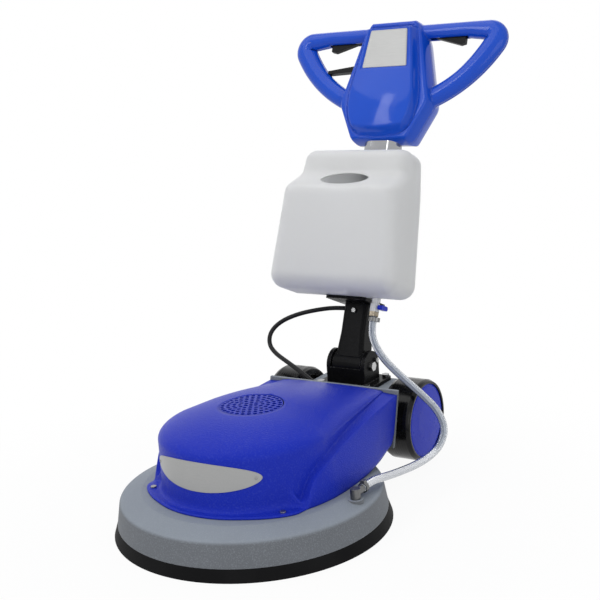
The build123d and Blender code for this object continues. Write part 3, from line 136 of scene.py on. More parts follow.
class Paint:
    """A node tree under construction, with short ways to the nodes that the finishes share."""

    def __init__(self, owner):
        owner.use_nodes = True
        self.owner = owner
        self.tree = owner.node_tree

    def feed(self, socket, value):
        if isinstance(value, Wire):
            self.tree.links.new(value.socket, socket)
        else:
            socket.default_value = value

    def node(self, kind, settings=None, sockets=None, output=0):
        """Add a node: its settings first, then the values or wires of its sockets."""
        made = self.tree.nodes.new(kind)
        for key, value in (settings or {}).items():
            setattr(made, key, value)
        for key, value in (sockets or {}).items():
            self.feed(made.inputs[key], value)
        return Wire(self, made.outputs[output])

    def place(self, stretch=(1, 1, 1), centre=(0, 0, 0)):
        """Object coordinates, centred on a point and stretched along each axis."""
        spot = self.node("ShaderNodeTexCoord", output="Object")
        moved = self.node("ShaderNodeVectorMath", {"operation": "SUBTRACT"}, {0: spot, 1: tuple(centre)})
        return self.node("ShaderNodeMapping", {"vector_type": "POINT"}, {"Vector": moved, "Scale": stretch})

    def noise(self, scale, detail=2.0, vector=None):
        """Soft noise from 0 to 1; its size is about one over the scale."""
        spot = vector or self.place()
        return self.node("ShaderNodeTexNoise", None, {"Vector": spot, "Scale": scale, "Detail": detail})

    def cells(self, scale):
        """Distance to the nearest of a scatter of points, for moulded grain."""
        return self.node("ShaderNodeTexVoronoi", None, {"Vector": self.place(), "Scale": scale})

    def wave(self, value):
        """Sine of a value."""
        return self.node("ShaderNodeMath", {"operation": "SINE"}, {0: value})

    def length(self, vector):
        """Length of a vector."""
        return self.node("ShaderNodeVectorMath", {"operation": "LENGTH"}, {0: vector}, "Value")

    def band(self, value, low, high):
        """Soft step: 0 below low, 1 above high."""
        limits = {"Value": value, "From Min": low, "From Max": high}
        return self.node("ShaderNodeMapRange", {"interpolation_type": "SMOOTHSTEP"}, limits)

    def part(self, vector, axis):
        """One of a vector's three numbers."""
        return self.node("ShaderNodeSeparateXYZ", None, {0: vector}, output=axis)

    def tint(self, factor, first, second):
        """Mix of two colours."""
        return self.node("ShaderNodeMix", {"data_type": "RGBA"}, {0: factor, 6: first, 7: second}, output=2)

    def round_edges(self, radius):
        """Normal that turns smoothly round edges, as on a cast, pressed or moulded corner, by millimetres."""
        return self.node("ShaderNodeBevel", {"samples": 6}, {"Radius": radius * MM})

    def edge_mask(self, rounded):
        """1 along outer and inner edges, where the rounded normal leaves the face's own."""
        face = self.node("ShaderNodeNewGeometry", output="True Normal")
        pair = {0: rounded, 1: face}
        along = self.node("ShaderNodeVectorMath", {"operation": "DOT_PRODUCT"}, pair, "Value")
        return self.band(1 - along, 0.01, 0.12)

    def finish(self, colour, roughness, bump=None, rounded=None, **fixed):
        """Put the values on the surface shader. A bump is a height from 0 to 1, its depth in millimetres and
        its strength, laid over the rounded normal; fixed values go straight onto their sockets."""
        shader = self.tree.nodes["Principled BSDF"]
        self.feed(shader.inputs["Base Color"], colour)
        self.feed(shader.inputs["Roughness"], roughness)
        if bump:
            height, depth, strength = bump
            sockets = {"Height": height, "Distance": depth * MM, "Strength": strength}
            if rounded:
                sockets["Normal"] = rounded
            self.feed(shader.inputs["Normal"], self.node("ShaderNodeBump", None, sockets))
        for key, value in fixed.items():
            shader.inputs[key.replace("_", " ").title().replace("Ior", "IOR")].default_value = value
        return self.owner


def new_paint(name):
    return Paint(bpy.data.materials.new(name))


def rgb(red, green, blue):
    return (red, green, blue, 1.0)


# Finishes, one function for each kind of surface
DISC_RINGS = 2600  # radians to the metre
TREAD_LINES = 1250  # radians to the metre
HOSE_PAINTED_STREAKS = 5  # painted dark reflection streaks round the hose


def plain_finish(name, grain, colours, shine, relief, tone=None, rounding=0, **fixed):
    """Finish with one grain: it sets the roughness and the relief, and mixes the two colours unless a tone of
    its own does. Grain and tone are a noise's scale, detail and stretch, relief a depth in millimetres and a
    strength, rounding a radius in millimetres."""
    p = new_paint(name)
    scale, detail, *stretch = grain
    fine = p.noise(scale, detail, p.place(*stretch))
    mixed = p.noise(*tone) if tone else fine
    body = p.tint(mixed, rgb(*colours[0]), rgb(*colours[1]))
    rounded = p.round_edges(rounding) if rounding else None
    return p.finish(body, shine[0] + shine[1] * fine, (fine, *relief), rounded, **fixed)


def deck_coat():
    """Grey stoved paint with a fine pebbled grain, paler on worn edges, and paler on its upward faces as painted
    light.
    """
    p = new_paint("deck_coat")
    rounded = p.round_edges(2.5)
    grain = p.noise(520, 3)
    mottle = p.noise(9, 4)
    enamel = p.tint(mottle, rgb(0.112, 0.121, 0.134), rgb(0.142, 0.152, 0.168))
    # painted light: faces that look up get a paler tone, standing in for the light from above that leaves the
    # sides darker
    upward = p.part(p.node("ShaderNodeNewGeometry", output="Normal"), 2)
    body = p.tint(p.band(upward, 0.1, 0.9) * (0.6 + 0.4 * mottle), enamel, rgb(0.255, 0.287, 0.330))
    speck = p.tint(p.band(grain, 0.48, 0.68) * 0.25, body, rgb(0.34, 0.37, 0.41))
    colour = p.tint(p.edge_mask(rounded) * 0.3, speck, rgb(0.4, 0.42, 0.46))
    return p.finish(colour, 0.5 + 0.22 * grain, (grain, 0.5, 0.7), rounded, specular_ior_level=0.35)


def cover_plastic(name, rounding):
    """Royal blue moulding with a leathery spark grain that breaks up its highlights."""
    p = new_paint(name)
    rounded = p.round_edges(rounding)
    pebbles = p.cells(420)
    fine = p.noise(900, 2)
    sweep = p.noise(5, 3)
    body = p.tint(sweep, rgb(0.008, 0.021, 0.39), rgb(0.012, 0.031, 0.46))
    colour = p.tint(p.band(pebbles, 0.5, 0.9) * 0.25, body, rgb(0.055, 0.085, 0.5))
    height = 0.7 * pebbles + 0.3 * fine
    return p.finish(colour, 0.28 + 0.16 * fine, (height, 0.7, 1.0), rounded, specular_ior_level=0.1)


def head_plastic():
    """Polished royal blue moulding, with a faint ripple and fine rub marks on the grips."""
    p = new_paint("head_plastic")
    rounded = p.round_edges(5.0)
    ripple = p.noise(45, 1)
    rubs = p.noise(60, 5, p.place(stretch=(0.25, 1, 1)))
    body = p.tint(p.noise(6, 2), rgb(0.004, 0.055, 0.48), rgb(0.007, 0.08, 0.56))
    roughness = 0.09 + 0.1 * p.band(rubs, 0.5, 0.8)
    gloss = {"specular_ior_level": 0.18, "coat_weight": 0.16, "coat_roughness": 0.04}
    return p.finish(body, roughness, (ripple, 0.4, 0.3), rounded, **gloss)


def disc_plastic():
    """Blue pressed wheel discs, with turning rings from the mould about the axle."""
    p = new_paint("disc_plastic")
    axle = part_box("axle")
    middle = (axle[0] + axle[1]) / 2
    spot = p.place(centre=middle, stretch=(0, 1, 1))
    rings = p.wave(p.length(spot) * DISC_RINGS)
    rounded = p.round_edges(1.5)
    body = p.tint(p.noise(14, 3), rgb(0.011, 0.024, 0.41), rgb(0.020, 0.040, 0.50))
    roughness = 0.24 + 0.1 * p.noise(70, 4)
    return p.finish(body, roughness, (rings, 0.06, 0.5), rounded, specular_ior_level=0.1)


def satin_plate():
    """Bare satin alloy, brushed lengthwise, with faint finger smears."""
    p = new_paint("satin_plate")
    brush = p.noise(1400, 2, p.place(stretch=(0.03, 1, 1)))
    smear = p.noise(28, 3)
    body = p.tint(brush, rgb(0.33, 0.33, 0.325), rgb(0.42, 0.42, 0.413))
    roughness = 0.3 + 0.14 * smear
    rounded = p.round_edges(0.6)
    return p.finish(body, roughness, (brush, 0.05, 0.4), rounded, metallic=0.35)


def zinc_steel(name, depth):
    """Zinc-plated fasteners: slightly cloudy, bright on their corners, darker by the depth, which divides their
    colours; the clips' copy is darkened this way as painted shade against their lamp reflections.
    """
    colours = np.array([(0.22, 0.225, 0.235), (0.38, 0.38, 0.375)]) / depth
    return plain_finish(name, (260, 4), colours, (0.22, 0.2), (0.05, 0.4), rounding=0.8, metallic=1.0)


def turned_steel():
    """Turned shafts: fine lathe lines round the axis, darker between them."""
    lines = (1800, 1, (1, 0.02, 0.02))
    colours = (0.40, 0.40, 0.41), (0.62, 0.62, 0.62)
    return plain_finish("turned_steel", lines, colours, (0.24, 0.15), (0.03, 0.4), metallic=1.0)


def skirt_rubber():
    """Matt black bumper rubber, dusted in its pores and greyed along its edges."""
    p = new_paint("skirt_rubber")
    rounded = p.round_edges(2.0)
    pores = p.noise(700, 3)
    dust = p.noise(12, 5)
    body = p.tint(p.band(dust, 0.4, 0.8) * 0.5, rgb(0.004, 0.004, 0.0045), rgb(0.012, 0.012, 0.0125))
    colour = p.tint(p.edge_mask(rounded) * 0.4, body, rgb(0.04, 0.04, 0.041))
    return p.finish(colour, 0.5 + 0.25 * pores, (pores, 0.25, 0.5), rounded, specular_ior_level=0.08)


def tyre_rubber():
    """Black tyre, glossy from use, with moulding lines round the tread."""
    p = new_paint("tyre_rubber")
    lines = p.wave(p.part(p.place(), 0) * TREAD_LINES)
    grime = p.noise(40, 4)
    rounded = p.round_edges(2.5)
    body = p.tint(p.band(grime, 0.5, 0.8) * 0.6, rgb(0.003, 0.003, 0.0035), rgb(0.011, 0.011, 0.0115))
    height = 0.6 * lines + 0.4 * grime
    roughness = 0.16 + 0.25 * p.band(grime, 0.45, 0.8)
    return p.finish(body, roughness, (height, 0.25, 0.4), rounded, specular_ior_level=0.2)


def black_plastic(name, shine):
    """Black moulded plastic with a fine grain."""
    colours = (0.004, 0.004, 0.0045), (0.011, 0.011, 0.0115)
    fixed = {"tone": (25, 3), "rounding": 1.2, "specular_ior_level": 0.1}
    return plain_finish(name, (650, 2), colours, (shine, 0.15), (0.12, 0.4), **fixed)


def hinge_enamel():
    """Glossy black enamel over steel, rubbed through to metal along its edges."""
    p = new_paint("hinge_enamel")
    rounded = p.round_edges(2.2)
    peel = p.noise(160, 2)
    chips = p.band(p.noise(220, 4), 0.52, 0.6)
    worn = p.edge_mask(rounded) * chips
    body = p.tint(p.noise(20, 3), rgb(0.003, 0.003, 0.0035), rgb(0.008, 0.008, 0.0085))
    colour = p.tint(worn * 0.6, body, rgb(0.16, 0.16, 0.165))
    return p.finish(colour, 0.22 + 0.12 * peel, (peel, 0.15, 0.35), rounded, specular_ior_level=0.06)


def chrome_plate():
    """Bright chrome with faint water marks and fine lengthwise wiping lines."""
    p = new_paint("chrome_plate")
    marks = p.noise(35, 4)
    wipes = p.noise(900, 1, p.place(stretch=(1, 0.04, 0.04)))
    body = p.tint(marks, rgb(0.30, 0.305, 0.32), rgb(0.40, 0.405, 0.42))
    roughness = 0.05 + 0.12 * p.band(marks, 0.5, 0.8)
    return p.finish(body, roughness, (wipes, 0.02, 0.3), metallic=1.0)


def tank_plastic():
    """Milky blow-moulded plastic: light soaks in, and the wall clouds it from place to place."""
    p = new_paint("tank_plastic")
    rounded = p.round_edges(2.0)
    wall = p.noise(7, 3)
    flow = p.noise(60, 3, p.place(stretch=(1, 1, 0.3)))
    body = p.tint(wall, rgb(0.94, 0.945, 0.92), rgb(0.975, 0.98, 0.955))
    height = 0.7 * wall + 0.3 * flow
    soak = {"subsurface_weight": 1.0, "subsurface_radius": (1.0, 1.0, 1.0), "subsurface_scale": 18 * MM}
    return p.finish(body, 0.36 + 0.14 * flow, (height, 0.8, 0.25), rounded, **soak)


def pale_plastic():
    """Pale grey tap body, slightly translucent, with moulding clouds."""
    colours = (0.58, 0.58, 0.56), (0.72, 0.72, 0.70)
    return plain_finish("pale_plastic", (150, 3), colours, (0.3, 0.12), (0.08, 0.4), rounding=1.0)


def brass():
    """Old brass, dulled between polished corners."""
    p = new_paint("brass")
    tarnish = p.noise(180, 4)
    body = p.tint(p.band(tarnish, 0.4, 0.8), rgb(0.30, 0.26, 0.20), rgb(0.17, 0.145, 0.11))
    rounded = p.round_edges(0.8)
    return p.finish(body, 0.24 + 0.25 * tarnish, (tarnish, 0.06, 0.4), rounded, metallic=1.0)


def clear_hose():
    """Clear soft hose: bluish, slightly cloudy, with fine draw lines; its dark lengthwise streaks are painted
    reflection and its darker edges painted shade.
    """
    p = new_paint("clear_hose")
    around = p.node("ShaderNodeTexCoord", output="UV")
    drawn = p.node("ShaderNodeMapping", None, {"Vector": around, "Scale": (1, 0.05, 1)})
    lines = p.noise(90, 2, drawn)
    cloud = p.noise(80, 3)
    # painted shade: the hose darkens where its surface turns away from the view, standing in for refraction at its
    # sides
    rim = p.node("ShaderNodeLayerWeight", None, {"Blend": 0.42}, output="Facing")
    middle = p.tint(cloud, rgb(0.52, 0.56, 0.62), rgb(0.66, 0.70, 0.75))
    # painted reflection: dark bands round the hose, standing in for the dark surroundings seen through it
    painted_streak = p.wave(p.part(around, 0) * (2 * pi * HOSE_PAINTED_STREAKS) + cloud)
    with_painted_streaks = p.tint(p.band(painted_streak, 0.3, 0.9) * 0.6, middle, rgb(0.10, 0.13, 0.19))
    body = p.tint(p.band(rim, 0.15, 0.6), with_painted_streaks, rgb(0.05, 0.08, 0.15))
    return p.finish(body, 0.08 + 0.12 * cloud, (lines, 0.2, 0.4), transmission_weight=0.45, ior=1.42)


def cable_sheath():
    """Black rubber cable sheath with a dull bloom and fine extrusion lines."""
    p = new_paint("cable_sheath")
    bloom = p.noise(60, 4)
    grain = p.noise(900, 2)
    body = p.tint(bloom, rgb(0.007, 0.007, 0.008), rgb(0.018, 0.018, 0.019))
    return p.finish(body, 0.34 + 0.2 * bloom, (grain, 0.1, 0.4), specular_ior_level=0.15)


def cast_alloy():
    """Raw cast alloy, sandy and slightly stained."""
    colours = (0.36, 0.365, 0.37), (0.52, 0.525, 0.53)
    fixed = {"tone": (20, 4), "rounding": 1.5, "metallic": 0.8}
    return plain_finish("cast_alloy", (480, 3), colours, (0.42, 0.2), (0.3, 0.5), **fixed)


def beech_block():
    """Sealed beech: long grain along x, with short darker flecks."""
    p = new_paint("beech_block")
    grain = p.noise(40, 5, p.place(stretch=(0.12, 1, 1)))
    flecks = p.noise(420, 2, p.place(stretch=(0.15, 1, 1)))
    body = p.tint(grain, rgb(0.42, 0.25, 0.12), rgb(0.62, 0.42, 0.22))
    colour = p.tint(p.band(flecks, 0.62, 0.75) * 0.5, body, rgb(0.28, 0.15, 0.07))
    return p.finish(colour, 0.4 + 0.15 * grain, (grain, 0.2, 0.4))


def bristle_nylon():
    """Pale nylon strands, a little darker and duller towards some tufts."""
    p = new_paint("bristle_nylon")
    tufts = p.noise(70, 3)
    body = p.tint(tufts, rgb(0.52, 0.45, 0.31), rgb(0.76, 0.70, 0.55))
    return p.finish(body, 0.3 + 0.2 * tufts)


slot_paints = {
    "deck_casting": deck_coat(),
    "cover_blue": cover_plastic("cover_plastic", 2.5),
    "head_blue": head_plastic(),
    "disc_blue": disc_plastic(),
    "plate": satin_plate(),
    "screw_steel": zinc_steel("zinc_steel", 1.0),
    "skirt_rubber": skirt_rubber(),
    "tyre_black": tyre_rubber(),
    "rim_plastic": black_plastic("rim_plastic", 0.4),
    "shaft_steel": turned_steel(),
    "hinge_black": hinge_enamel(),
    "pole_chrome": chrome_plate(),
    "tank_white": tank_plastic(),
    "tap_grey": pale_plastic(),
    "tap_brass": brass(),
    # painted shade: the clips get the zinc darkened by 1.9, to tone down their lamp reflections
    "clip_steel": zinc_steel("clip_steel", 1.9),
    "hose_clear": clear_hose(),
    "cable_black": cable_sheath(),
    "lever_black": black_plastic("lever_plastic", 0.28),
    "motor_grey": cast_alloy(),
    "cowl_black": black_plastic("cowl_plastic", 0.45),
    "brush_wood": beech_block(),
    "bristle": bristle_nylon(),
}


def paint_nodes():
    """Give every CAD node the finish of its slot."""
    for row in frame["record"]["subparts"]:
        materials = frame["nodes"][row["node"]].data.materials
        materials.clear()
        materials.append(slot_paints[row["material_slot"]])


# Mesh helpers
def grid_quads(rows, columns, wrap=True):
    """Quads between neighbouring points of a grid, row by row; wrap joins each row's end to its start."""
    index = np.arange(rows * columns).reshape(rows, columns)
    if wrap:
        index = np.hstack([index, index[:, :1]])
    corners = [index[:-1, :-1], index[:-1, 1:], index[1:, 1:], index[1:, :-1]]
    return np.stack(corners, axis=-1).reshape(-1, 4)


def make_piece(name, points, faces, slot, body, smooth=True):
    """Mesh object at the origin from points and faces, painted as its slot, riding on a body."""
    mesh = bpy.data.meshes.new(name)
    places = np.asarray(points).reshape(-1, 3)
    mesh.from_pydata(places.tolist(), [], [list(face) for face in faces])
    mesh.polygons.foreach_set("use_smooth", np.full(len(mesh.polygons), smooth))
    mesh.materials.append(slot_paints[slot])
    piece = bpy.data.objects.new(name, mesh)
    bpy.context.scene.collection.objects.link(piece)
    if body:
        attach(piece, body)
    return piece


def mend(piece, weld=False, outward=False):
    """Join the points that lie on each other, such as along a seam, or turn all faces outwards."""
    sheet = bmesh.new()
    sheet.from_mesh(piece.data)
    if weld:
        bmesh.ops.remove_doubles(sheet, verts=sheet.verts, dist=0.01 * MM)
    if outward:
        bmesh.ops.recalc_face_normals(sheet, faces=sheet.faces)
    sheet.to_mesh(piece.data)
    sheet.free()


def add_wall(piece, thickness):
    """Give an open surface a wall on its inner side."""
    wall = piece.modifiers.new("wall", "SOLIDIFY")
    wall.thickness = thickness
    wall.offset = -1


# Cords: two points on the handle, then points in millimetres from the brush axis on the floor
HOSE_DIAMETER = 14 * MM
HOSE_BORE = 9 * MM
HOSE_START = on_handle(0.064, 0.060, 0.090)
HOSE_COURSE = [
    (71, 327, 240), (93, 319, 212), (134, 311, 183), (176, 306, 156), (209, 305, 129), (226, 300, 99),
    (227, 282, 74), (223, 246, 62), (217, 195, 61), (210, 130, 68), (206, 80, 77), (204, 54, 80), (204, 24, 80),
]
HOSE_ROUTE = [HOSE_START, on_handle(0.064, 0.060, 0.064), *(DECK + MM * np.array(HOSE_COURSE))]
CABLE_DIAMETER = 9 * MM
CABLE_START = on_handle(-0.032, 0, 0.110)
CABLE_COURSE = [
    (-98, 398, 274), (-137, 386, 265), (-170, 373, 250), (-187, 360, 230), (-184, 348, 208), (-163, 338, 193),
    (-126, 326, 181), (-84, 312, 167), (-48, 301, 150), (-22, 301, 150),
]
CABLE_ROUTE = [CABLE_START, on_handle(-0.058, 0, 0.110), *(DECK + MM * np.array(CABLE_COURSE))]
CORD_SIDES = 20
CORD_STEPS = 10


def cord_line(name, route):
    """Points along a cord: an open NURBS line of order 3 with the route as its control points."""
    curve = bpy.data.curves.new(name, "CURVE")
    curve.dimensions = "3D"
    curve.resolution_u = CORD_STEPS
    spline = curve.splines.new("NURBS")
    spline.points.add(len(route) - 1)
    spline.points.foreach_set("co", np.c_[np.array(route), np.ones(len(route))].ravel())
    spline.order_u = 3
    spline.use_endpoint_u = True
    holder = bpy.data.objects.new(name, curve)
    mesh = bpy.data.meshes.new_from_object(holder)
    line = np.zeros(3 * len(mesh.vertices))
    mesh.vertices.foreach_get("co", line)
    bpy.data.objects.remove(holder)
    bpy.data.curves.remove(curve)
    bpy.data.meshes.remove(mesh)
    return line.reshape(-1, 3)


def tube_points(line, radius, reference):
    """Circle carried along a line: each point's two cross directions come from its tangent and a
    reference direction that the line never runs along."""
    tangent = np.gradient(line, axis=0)
    tangent /= np.linalg.norm(tangent, axis=1, keepdims=True)
    side = np.cross(tangent, reference)
    side /= np.linalg.norm(side, axis=1, keepdims=True)
    over = np.cross(side, tangent)
    angle = np.linspace(0, 2 * pi, CORD_SIDES, endpoint=False)
    ring = np.cos(angle)[None, :, None] * side[:, None] + np.sin(angle)[None, :, None] * over[:, None]
    return line[:, None] + radius * ring


def cord_piece(name, line, radius, bore, reference, slot):
    """Tube along a line; with a bore it has an inner wall and ring ends, otherwise flat ends."""
    rows = len(line)
    points = tube_points(line, radius, reference).reshape(-1, 3)
    faces = grid_quads(rows, CORD_SIDES)
    first = np.arange(CORD_SIDES)
    last = (rows - 1) * CORD_SIDES
    if bore:
        points = np.vstack([points, tube_points(line, bore, reference).reshape(-1, 3)])
        shift = rows * CORD_SIDES
        following = np.roll(first, -1)
        start_ring = np.c_[first, first + shift, following + shift, following]
        end_ring = np.c_[first, following, following + shift, first + shift] + last
        faces = [*faces, *(faces[:, ::-1] + shift), *start_ring, *end_ring]
    else:
        faces = [*faces, first[::-1], first + last]
    piece = make_piece(name, points, faces, slot, None)
    around = piece.data.uv_layers.new(name="around")
    loops = np.zeros(len(piece.data.loops), int)
    piece.data.loops.foreach_get("vertex_index", loops)
    along = (loops // CORD_SIDES) % rows
    around.data.foreach_set("uv", np.c_[(loops % CORD_SIDES) / CORD_SIDES, along / rows].ravel())
    return piece


def solution_hose():
    """Clear hose from the tap round the right wheel to the deck elbow."""
    line = cord_line("hose_line", HOSE_ROUTE)
    radius, bore = HOSE_DIAMETER / 2, HOSE_BORE / 2
    hose = cord_piece("clear_solution_hose", line, radius, bore, RIGHT, "hose_clear")
    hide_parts("solution_hose")
    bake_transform(hose)


def motor_cable():
    """Black cable from the post grommet in a loop to the gland behind the cover."""
    line = cord_line("cable_line", CABLE_ROUTE)
    backwards = np.array([0.0, 1.0, 0.0])
    cable = cord_piece("black_motor_cable", line, CABLE_DIAMETER / 2, 0, backwards, "cable_black")
    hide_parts("motor_cable")
    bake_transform(cable)


# Motor cover, in millimetres from the brush axis on the floor
NOSE_RADIUS = 151.9
CROWN_TAPER = 44 / 283
WING_TAPER = 12 / 293
CROWN_HEIGHT = 203.0
CROWN_BACK = 60.0
REAR_HEIGHT = 163.0
REAR_EDGE = 283.0
REAR_LEAN = 27 / 103
ROOF_POWER = 2.6
EAVE_POWER = 20
EAVE_SHARE = 0.30
EAVE_HEIGHT = 162
EAVE_FALL = 2
EAVE_FALL_RUN = (40, 250)
SPINE_POWER = 1.5
FOOT_HEIGHT = 72.0
FOOT_LIFT = 20
FOOT_LIFT_RUN = (246, 268)
SIDE_END = 267
COVER_WALL = 2.4
# Flange: the edge's reach by turn in degrees, then the section by row
FLANGE_EDGE = ([0, 30, 44, 54, 63, 75], [168, 169.5, 175, 179.5, 178.5, 171])
FLANGE_SOFT = 4
FLANGE_STOPS = [0, 1, 2, 3, 5, 7, 9, 11, 13, 25]
FLANGE_INNER = [0, 0, 0, 0, 161, 158, 154.5, 152.8, NOSE_RADIUS, NOSE_RADIUS]
FLANGE_DRAWN_IN = [1, 0, 0, 1.5, 8, 30, 30, 30, 30, 30]
FLANGE_HEIGHTS = [72, 72.8, 75, 76, 76, 76.2, 78, 82, 88, 128]
# Wings: the foot's reach and the crease's height by y, and how far the crease stands proud of the wall
WING_FOOT = (
    [-60, -37, -12, 11, 51, 102, 169, 207, 262, 300],
    [171, 171, 173, 176, 177, 174, 164, 154, 142, 133],
)
WING_FOOT_SOFT = 22
WING_CREASE = ([-62, -53, -42, -25, -5, 36, 89, 150, 267], [77, 101, 117, 128, 135, 141, 146, 150, 156])
WING_CREASE_SOFT = 5
WING_LIP = 11.0
WING_LIP_RUN = (-10, 230)
NOSE_LIP = 5.0
NOSE_LIP_RUN = (-45, 20)
FLANK_BOW = 2.0
FLANK_BOW_RUN = (150, 260)
OVER_RISE = 6
OVER_POWER = 1.8
# Columns over the nose's front, over its sides and along the wings, with their turns in degrees
FRONT_TURNS = (0, 54)
NOSE_TURNS = (55.5, 90)
MELT_TURNS = (57, 68)
FRONT_COLUMNS = 22
NOSE_COLUMNS = 32
SIDE_COLUMNS = 40
LOWER_ROWS = 26
FLANK_ROWS = 16
WALL_ROWS = 6
ROOF_ROWS = 30
ROOF_SPACING = 1.9
VENT_BACK = 16.0
VENT_EDGE = 55.0
VENT_RINGS = 5
VENT_PITCH = 9.9
VENT_HOLE = 3.7
VENT_SIDES = 16
VENT_OVERLAP = 0.51
VENT_DEPTH = 3.0


def ease(value, low, high):
    """Cubic step: 0 below low, 1 above high."""
    part = np.clip((value - low) / (high - low), 0, 1)
    return part * part * (3 - 2 * part)


def soft_line(value, places, heights, reach):
    """Straight runs between given points, averaged over a reach to each side so that the corners are soft."""
    shifts = np.linspace(-reach, reach, 13)[:, None]
    return np.interp(value + shifts, places, heights).mean(axis=0)


def cover_half(y):
    """Half width of the crown's wall, drawn in towards the rear."""
    return NOSE_RADIUS - CROWN_TAPER * np.clip(y, 0, None)


def eave_height(y):
    """Height where the wall turns into the roof, falling a little to the sharp rear corners."""
    return EAVE_HEIGHT - EAVE_FALL * ease(y, *EAVE_FALL_RUN)


def roof_height(x, y):
    """Roof over a plan point, by its share of the half width: one share of the rise turns over the eave as
    the root of one minus a high power, the rest is one minus a low power; the spine falls from the crown to
    the rear edge."""
    spread = np.where(y < 0, np.hypot(x, y), np.abs(x))
    share = np.clip(spread / cover_half(y), 0, 1)
    fall = np.clip((y - CROWN_BACK) / (REAR_EDGE - CROWN_BACK), 0, 1) ** SPINE_POWER
    spine = CROWN_HEIGHT - (CROWN_HEIGHT - REAR_HEIGHT) * fall
    eave = eave_height(y)
    turn_over = np.sqrt(1 - share**EAVE_POWER)
    return eave + (spine - eave) * (EAVE_SHARE * turn_over + (1 - EAVE_SHARE) * (1 - share**ROOF_POWER))


def flange_rows(turn):
    """Reach and height of the front flange's section at each turn, from its outer edge up into the nose
    wall. The edge is widest under the screws and runs on into the wing's foot."""
    row = np.arange(LOWER_ROWS)[:, None]
    edge = soft_line(np.degrees(turn), *FLANGE_EDGE, FLANGE_SOFT)
    inner = np.interp(row, FLANGE_STOPS, FLANGE_INNER)
    drawn_in = np.interp(row, FLANGE_STOPS, FLANGE_DRAWN_IN)
    return np.maximum(edge - drawn_in, inner), np.interp(row, FLANGE_STOPS, FLANGE_HEIGHTS)


def wing_rows(y):
    """Reach and height of the wing's section at each y: a flank from the flared foot up to a crease that stands
    proud of the wall by a lip, then in over the crease to the wall."""
    row = np.arange(LOWER_ROWS)[:, None]
    foot = soft_line(y, *WING_FOOT, WING_FOOT_SOFT)
    foot_height = FOOT_HEIGHT + FOOT_LIFT * ease(y, *FOOT_LIFT_RUN) ** 2
    crease = soft_line(y, *WING_CREASE, WING_CREASE_SOFT)
    crease = np.minimum(crease, eave_height(y) - 0.5)
    wall = cover_half(y)
    ledge = (CROWN_TAPER - WING_TAPER) * np.clip(y, 0, None)
    lip = WING_LIP * (1 - ease(y, *WING_LIP_RUN)) + NOSE_LIP * (1 - ease(y, *NOSE_LIP_RUN)) + ledge
    flank = np.clip(row / (FLANK_ROWS - 1), 0, 1)
    over = np.clip((row - FLANK_ROWS + 1) / (LOWER_ROWS - FLANK_ROWS), 0, 1)
    bow = FLANK_BOW * np.sin(pi * flank) * (1 - ease(y, *FLANK_BOW_RUN))
    reach = foot + (wall + lip - foot) * flank + bow - lip * ease(over, 0, 0.75)
    height = foot_height + (crease - foot_height) * flank
    return reach, height + np.minimum(OVER_RISE, eave_height(y) - crease) * over**OVER_POWER


def motor_cover():
    """Moulded cover as one surface. Columns run round the plan: rays about the brush axis over the nose, then
    lines across the sides that lean with the rear edge. Rows run up and in: the flange or the wing, which melt
    into each other beside the nose, then the wall, then the roof to the vent's edge or the spine."""
    front, beside = np.linspace(*FRONT_TURNS, FRONT_COLUMNS), np.linspace(*NOSE_TURNS, NOSE_COLUMNS)
    turn = np.radians(np.concatenate([front, beside, np.full(SIDE_COLUMNS, 90.0)]))
    sides = np.linspace(1 / SIDE_COLUMNS, 1, SIDE_COLUMNS)
    back = np.concatenate([np.zeros(FRONT_COLUMNS + NOSE_COLUMNS), sides])
    y = np.where(back > 0, SIDE_END * back, -NOSE_RADIUS * np.cos(turn))
    melt = np.where(back > 0, 1, ease(turn, *np.radians(MELT_TURNS)))
    (flange_reach, flange_height), (wing_reach, wing_height) = flange_rows(turn), wing_rows(y)
    lower_reach = flange_reach + (wing_reach - flange_reach) * melt
    lower_height = flange_height + (wing_height - flange_height) * melt
    up = np.linspace(0, 1, WALL_ROWS + 1)[1:, None]
    wall_reach = lower_reach[-1] + (cover_half(y) - lower_reach[-1]) * up
    wall_height = lower_height[-1] + (eave_height(y) - lower_height[-1]) * up
    ray_end = np.sqrt(VENT_EDGE**2 - (VENT_BACK * np.sin(turn)) ** 2) - VENT_BACK * np.cos(turn)
    line_end = np.sqrt(np.clip(VENT_EDGE**2 - (y - VENT_BACK) ** 2, 0, None))
    inner = np.where(back > 0, line_end, ray_end)
    inward = np.linspace(0, 1, ROOF_ROWS + 1)[1:, None] ** ROOF_SPACING
    roof_reach = cover_half(y) + (inner - cover_half(y)) * inward
    reach = np.vstack([lower_reach, wall_reach, roof_reach])
    height = np.vstack([lower_height, wall_height, np.broadcast_to(eave_height(y), roof_reach.shape)])
    x_place = reach * np.sin(turn)
    lean = REAR_EDGE - REAR_LEAN * (REAR_HEIGHT - height)
    y_place = np.where(back > 0, back * lean, -reach * np.cos(turn))
    height[-ROOF_ROWS:] = roof_height(x_place[-ROOF_ROWS:], y_place[-ROOF_ROWS:])
    right = np.stack([x_place, y_place, height], axis=-1)
    grid = np.concatenate([right[:, :0:-1] * [-1, 1, 1], right], axis=1)
    faces = grid_quads(*grid.shape[:2], wrap=False)
    cover = make_piece("moulded_motor_cover", DECK + MM * grid, faces, "cover_blue", "base")
    mend(cover, weld=True)
    add_wall(cover, COVER_WALL * MM)
    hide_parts("motor_cover")


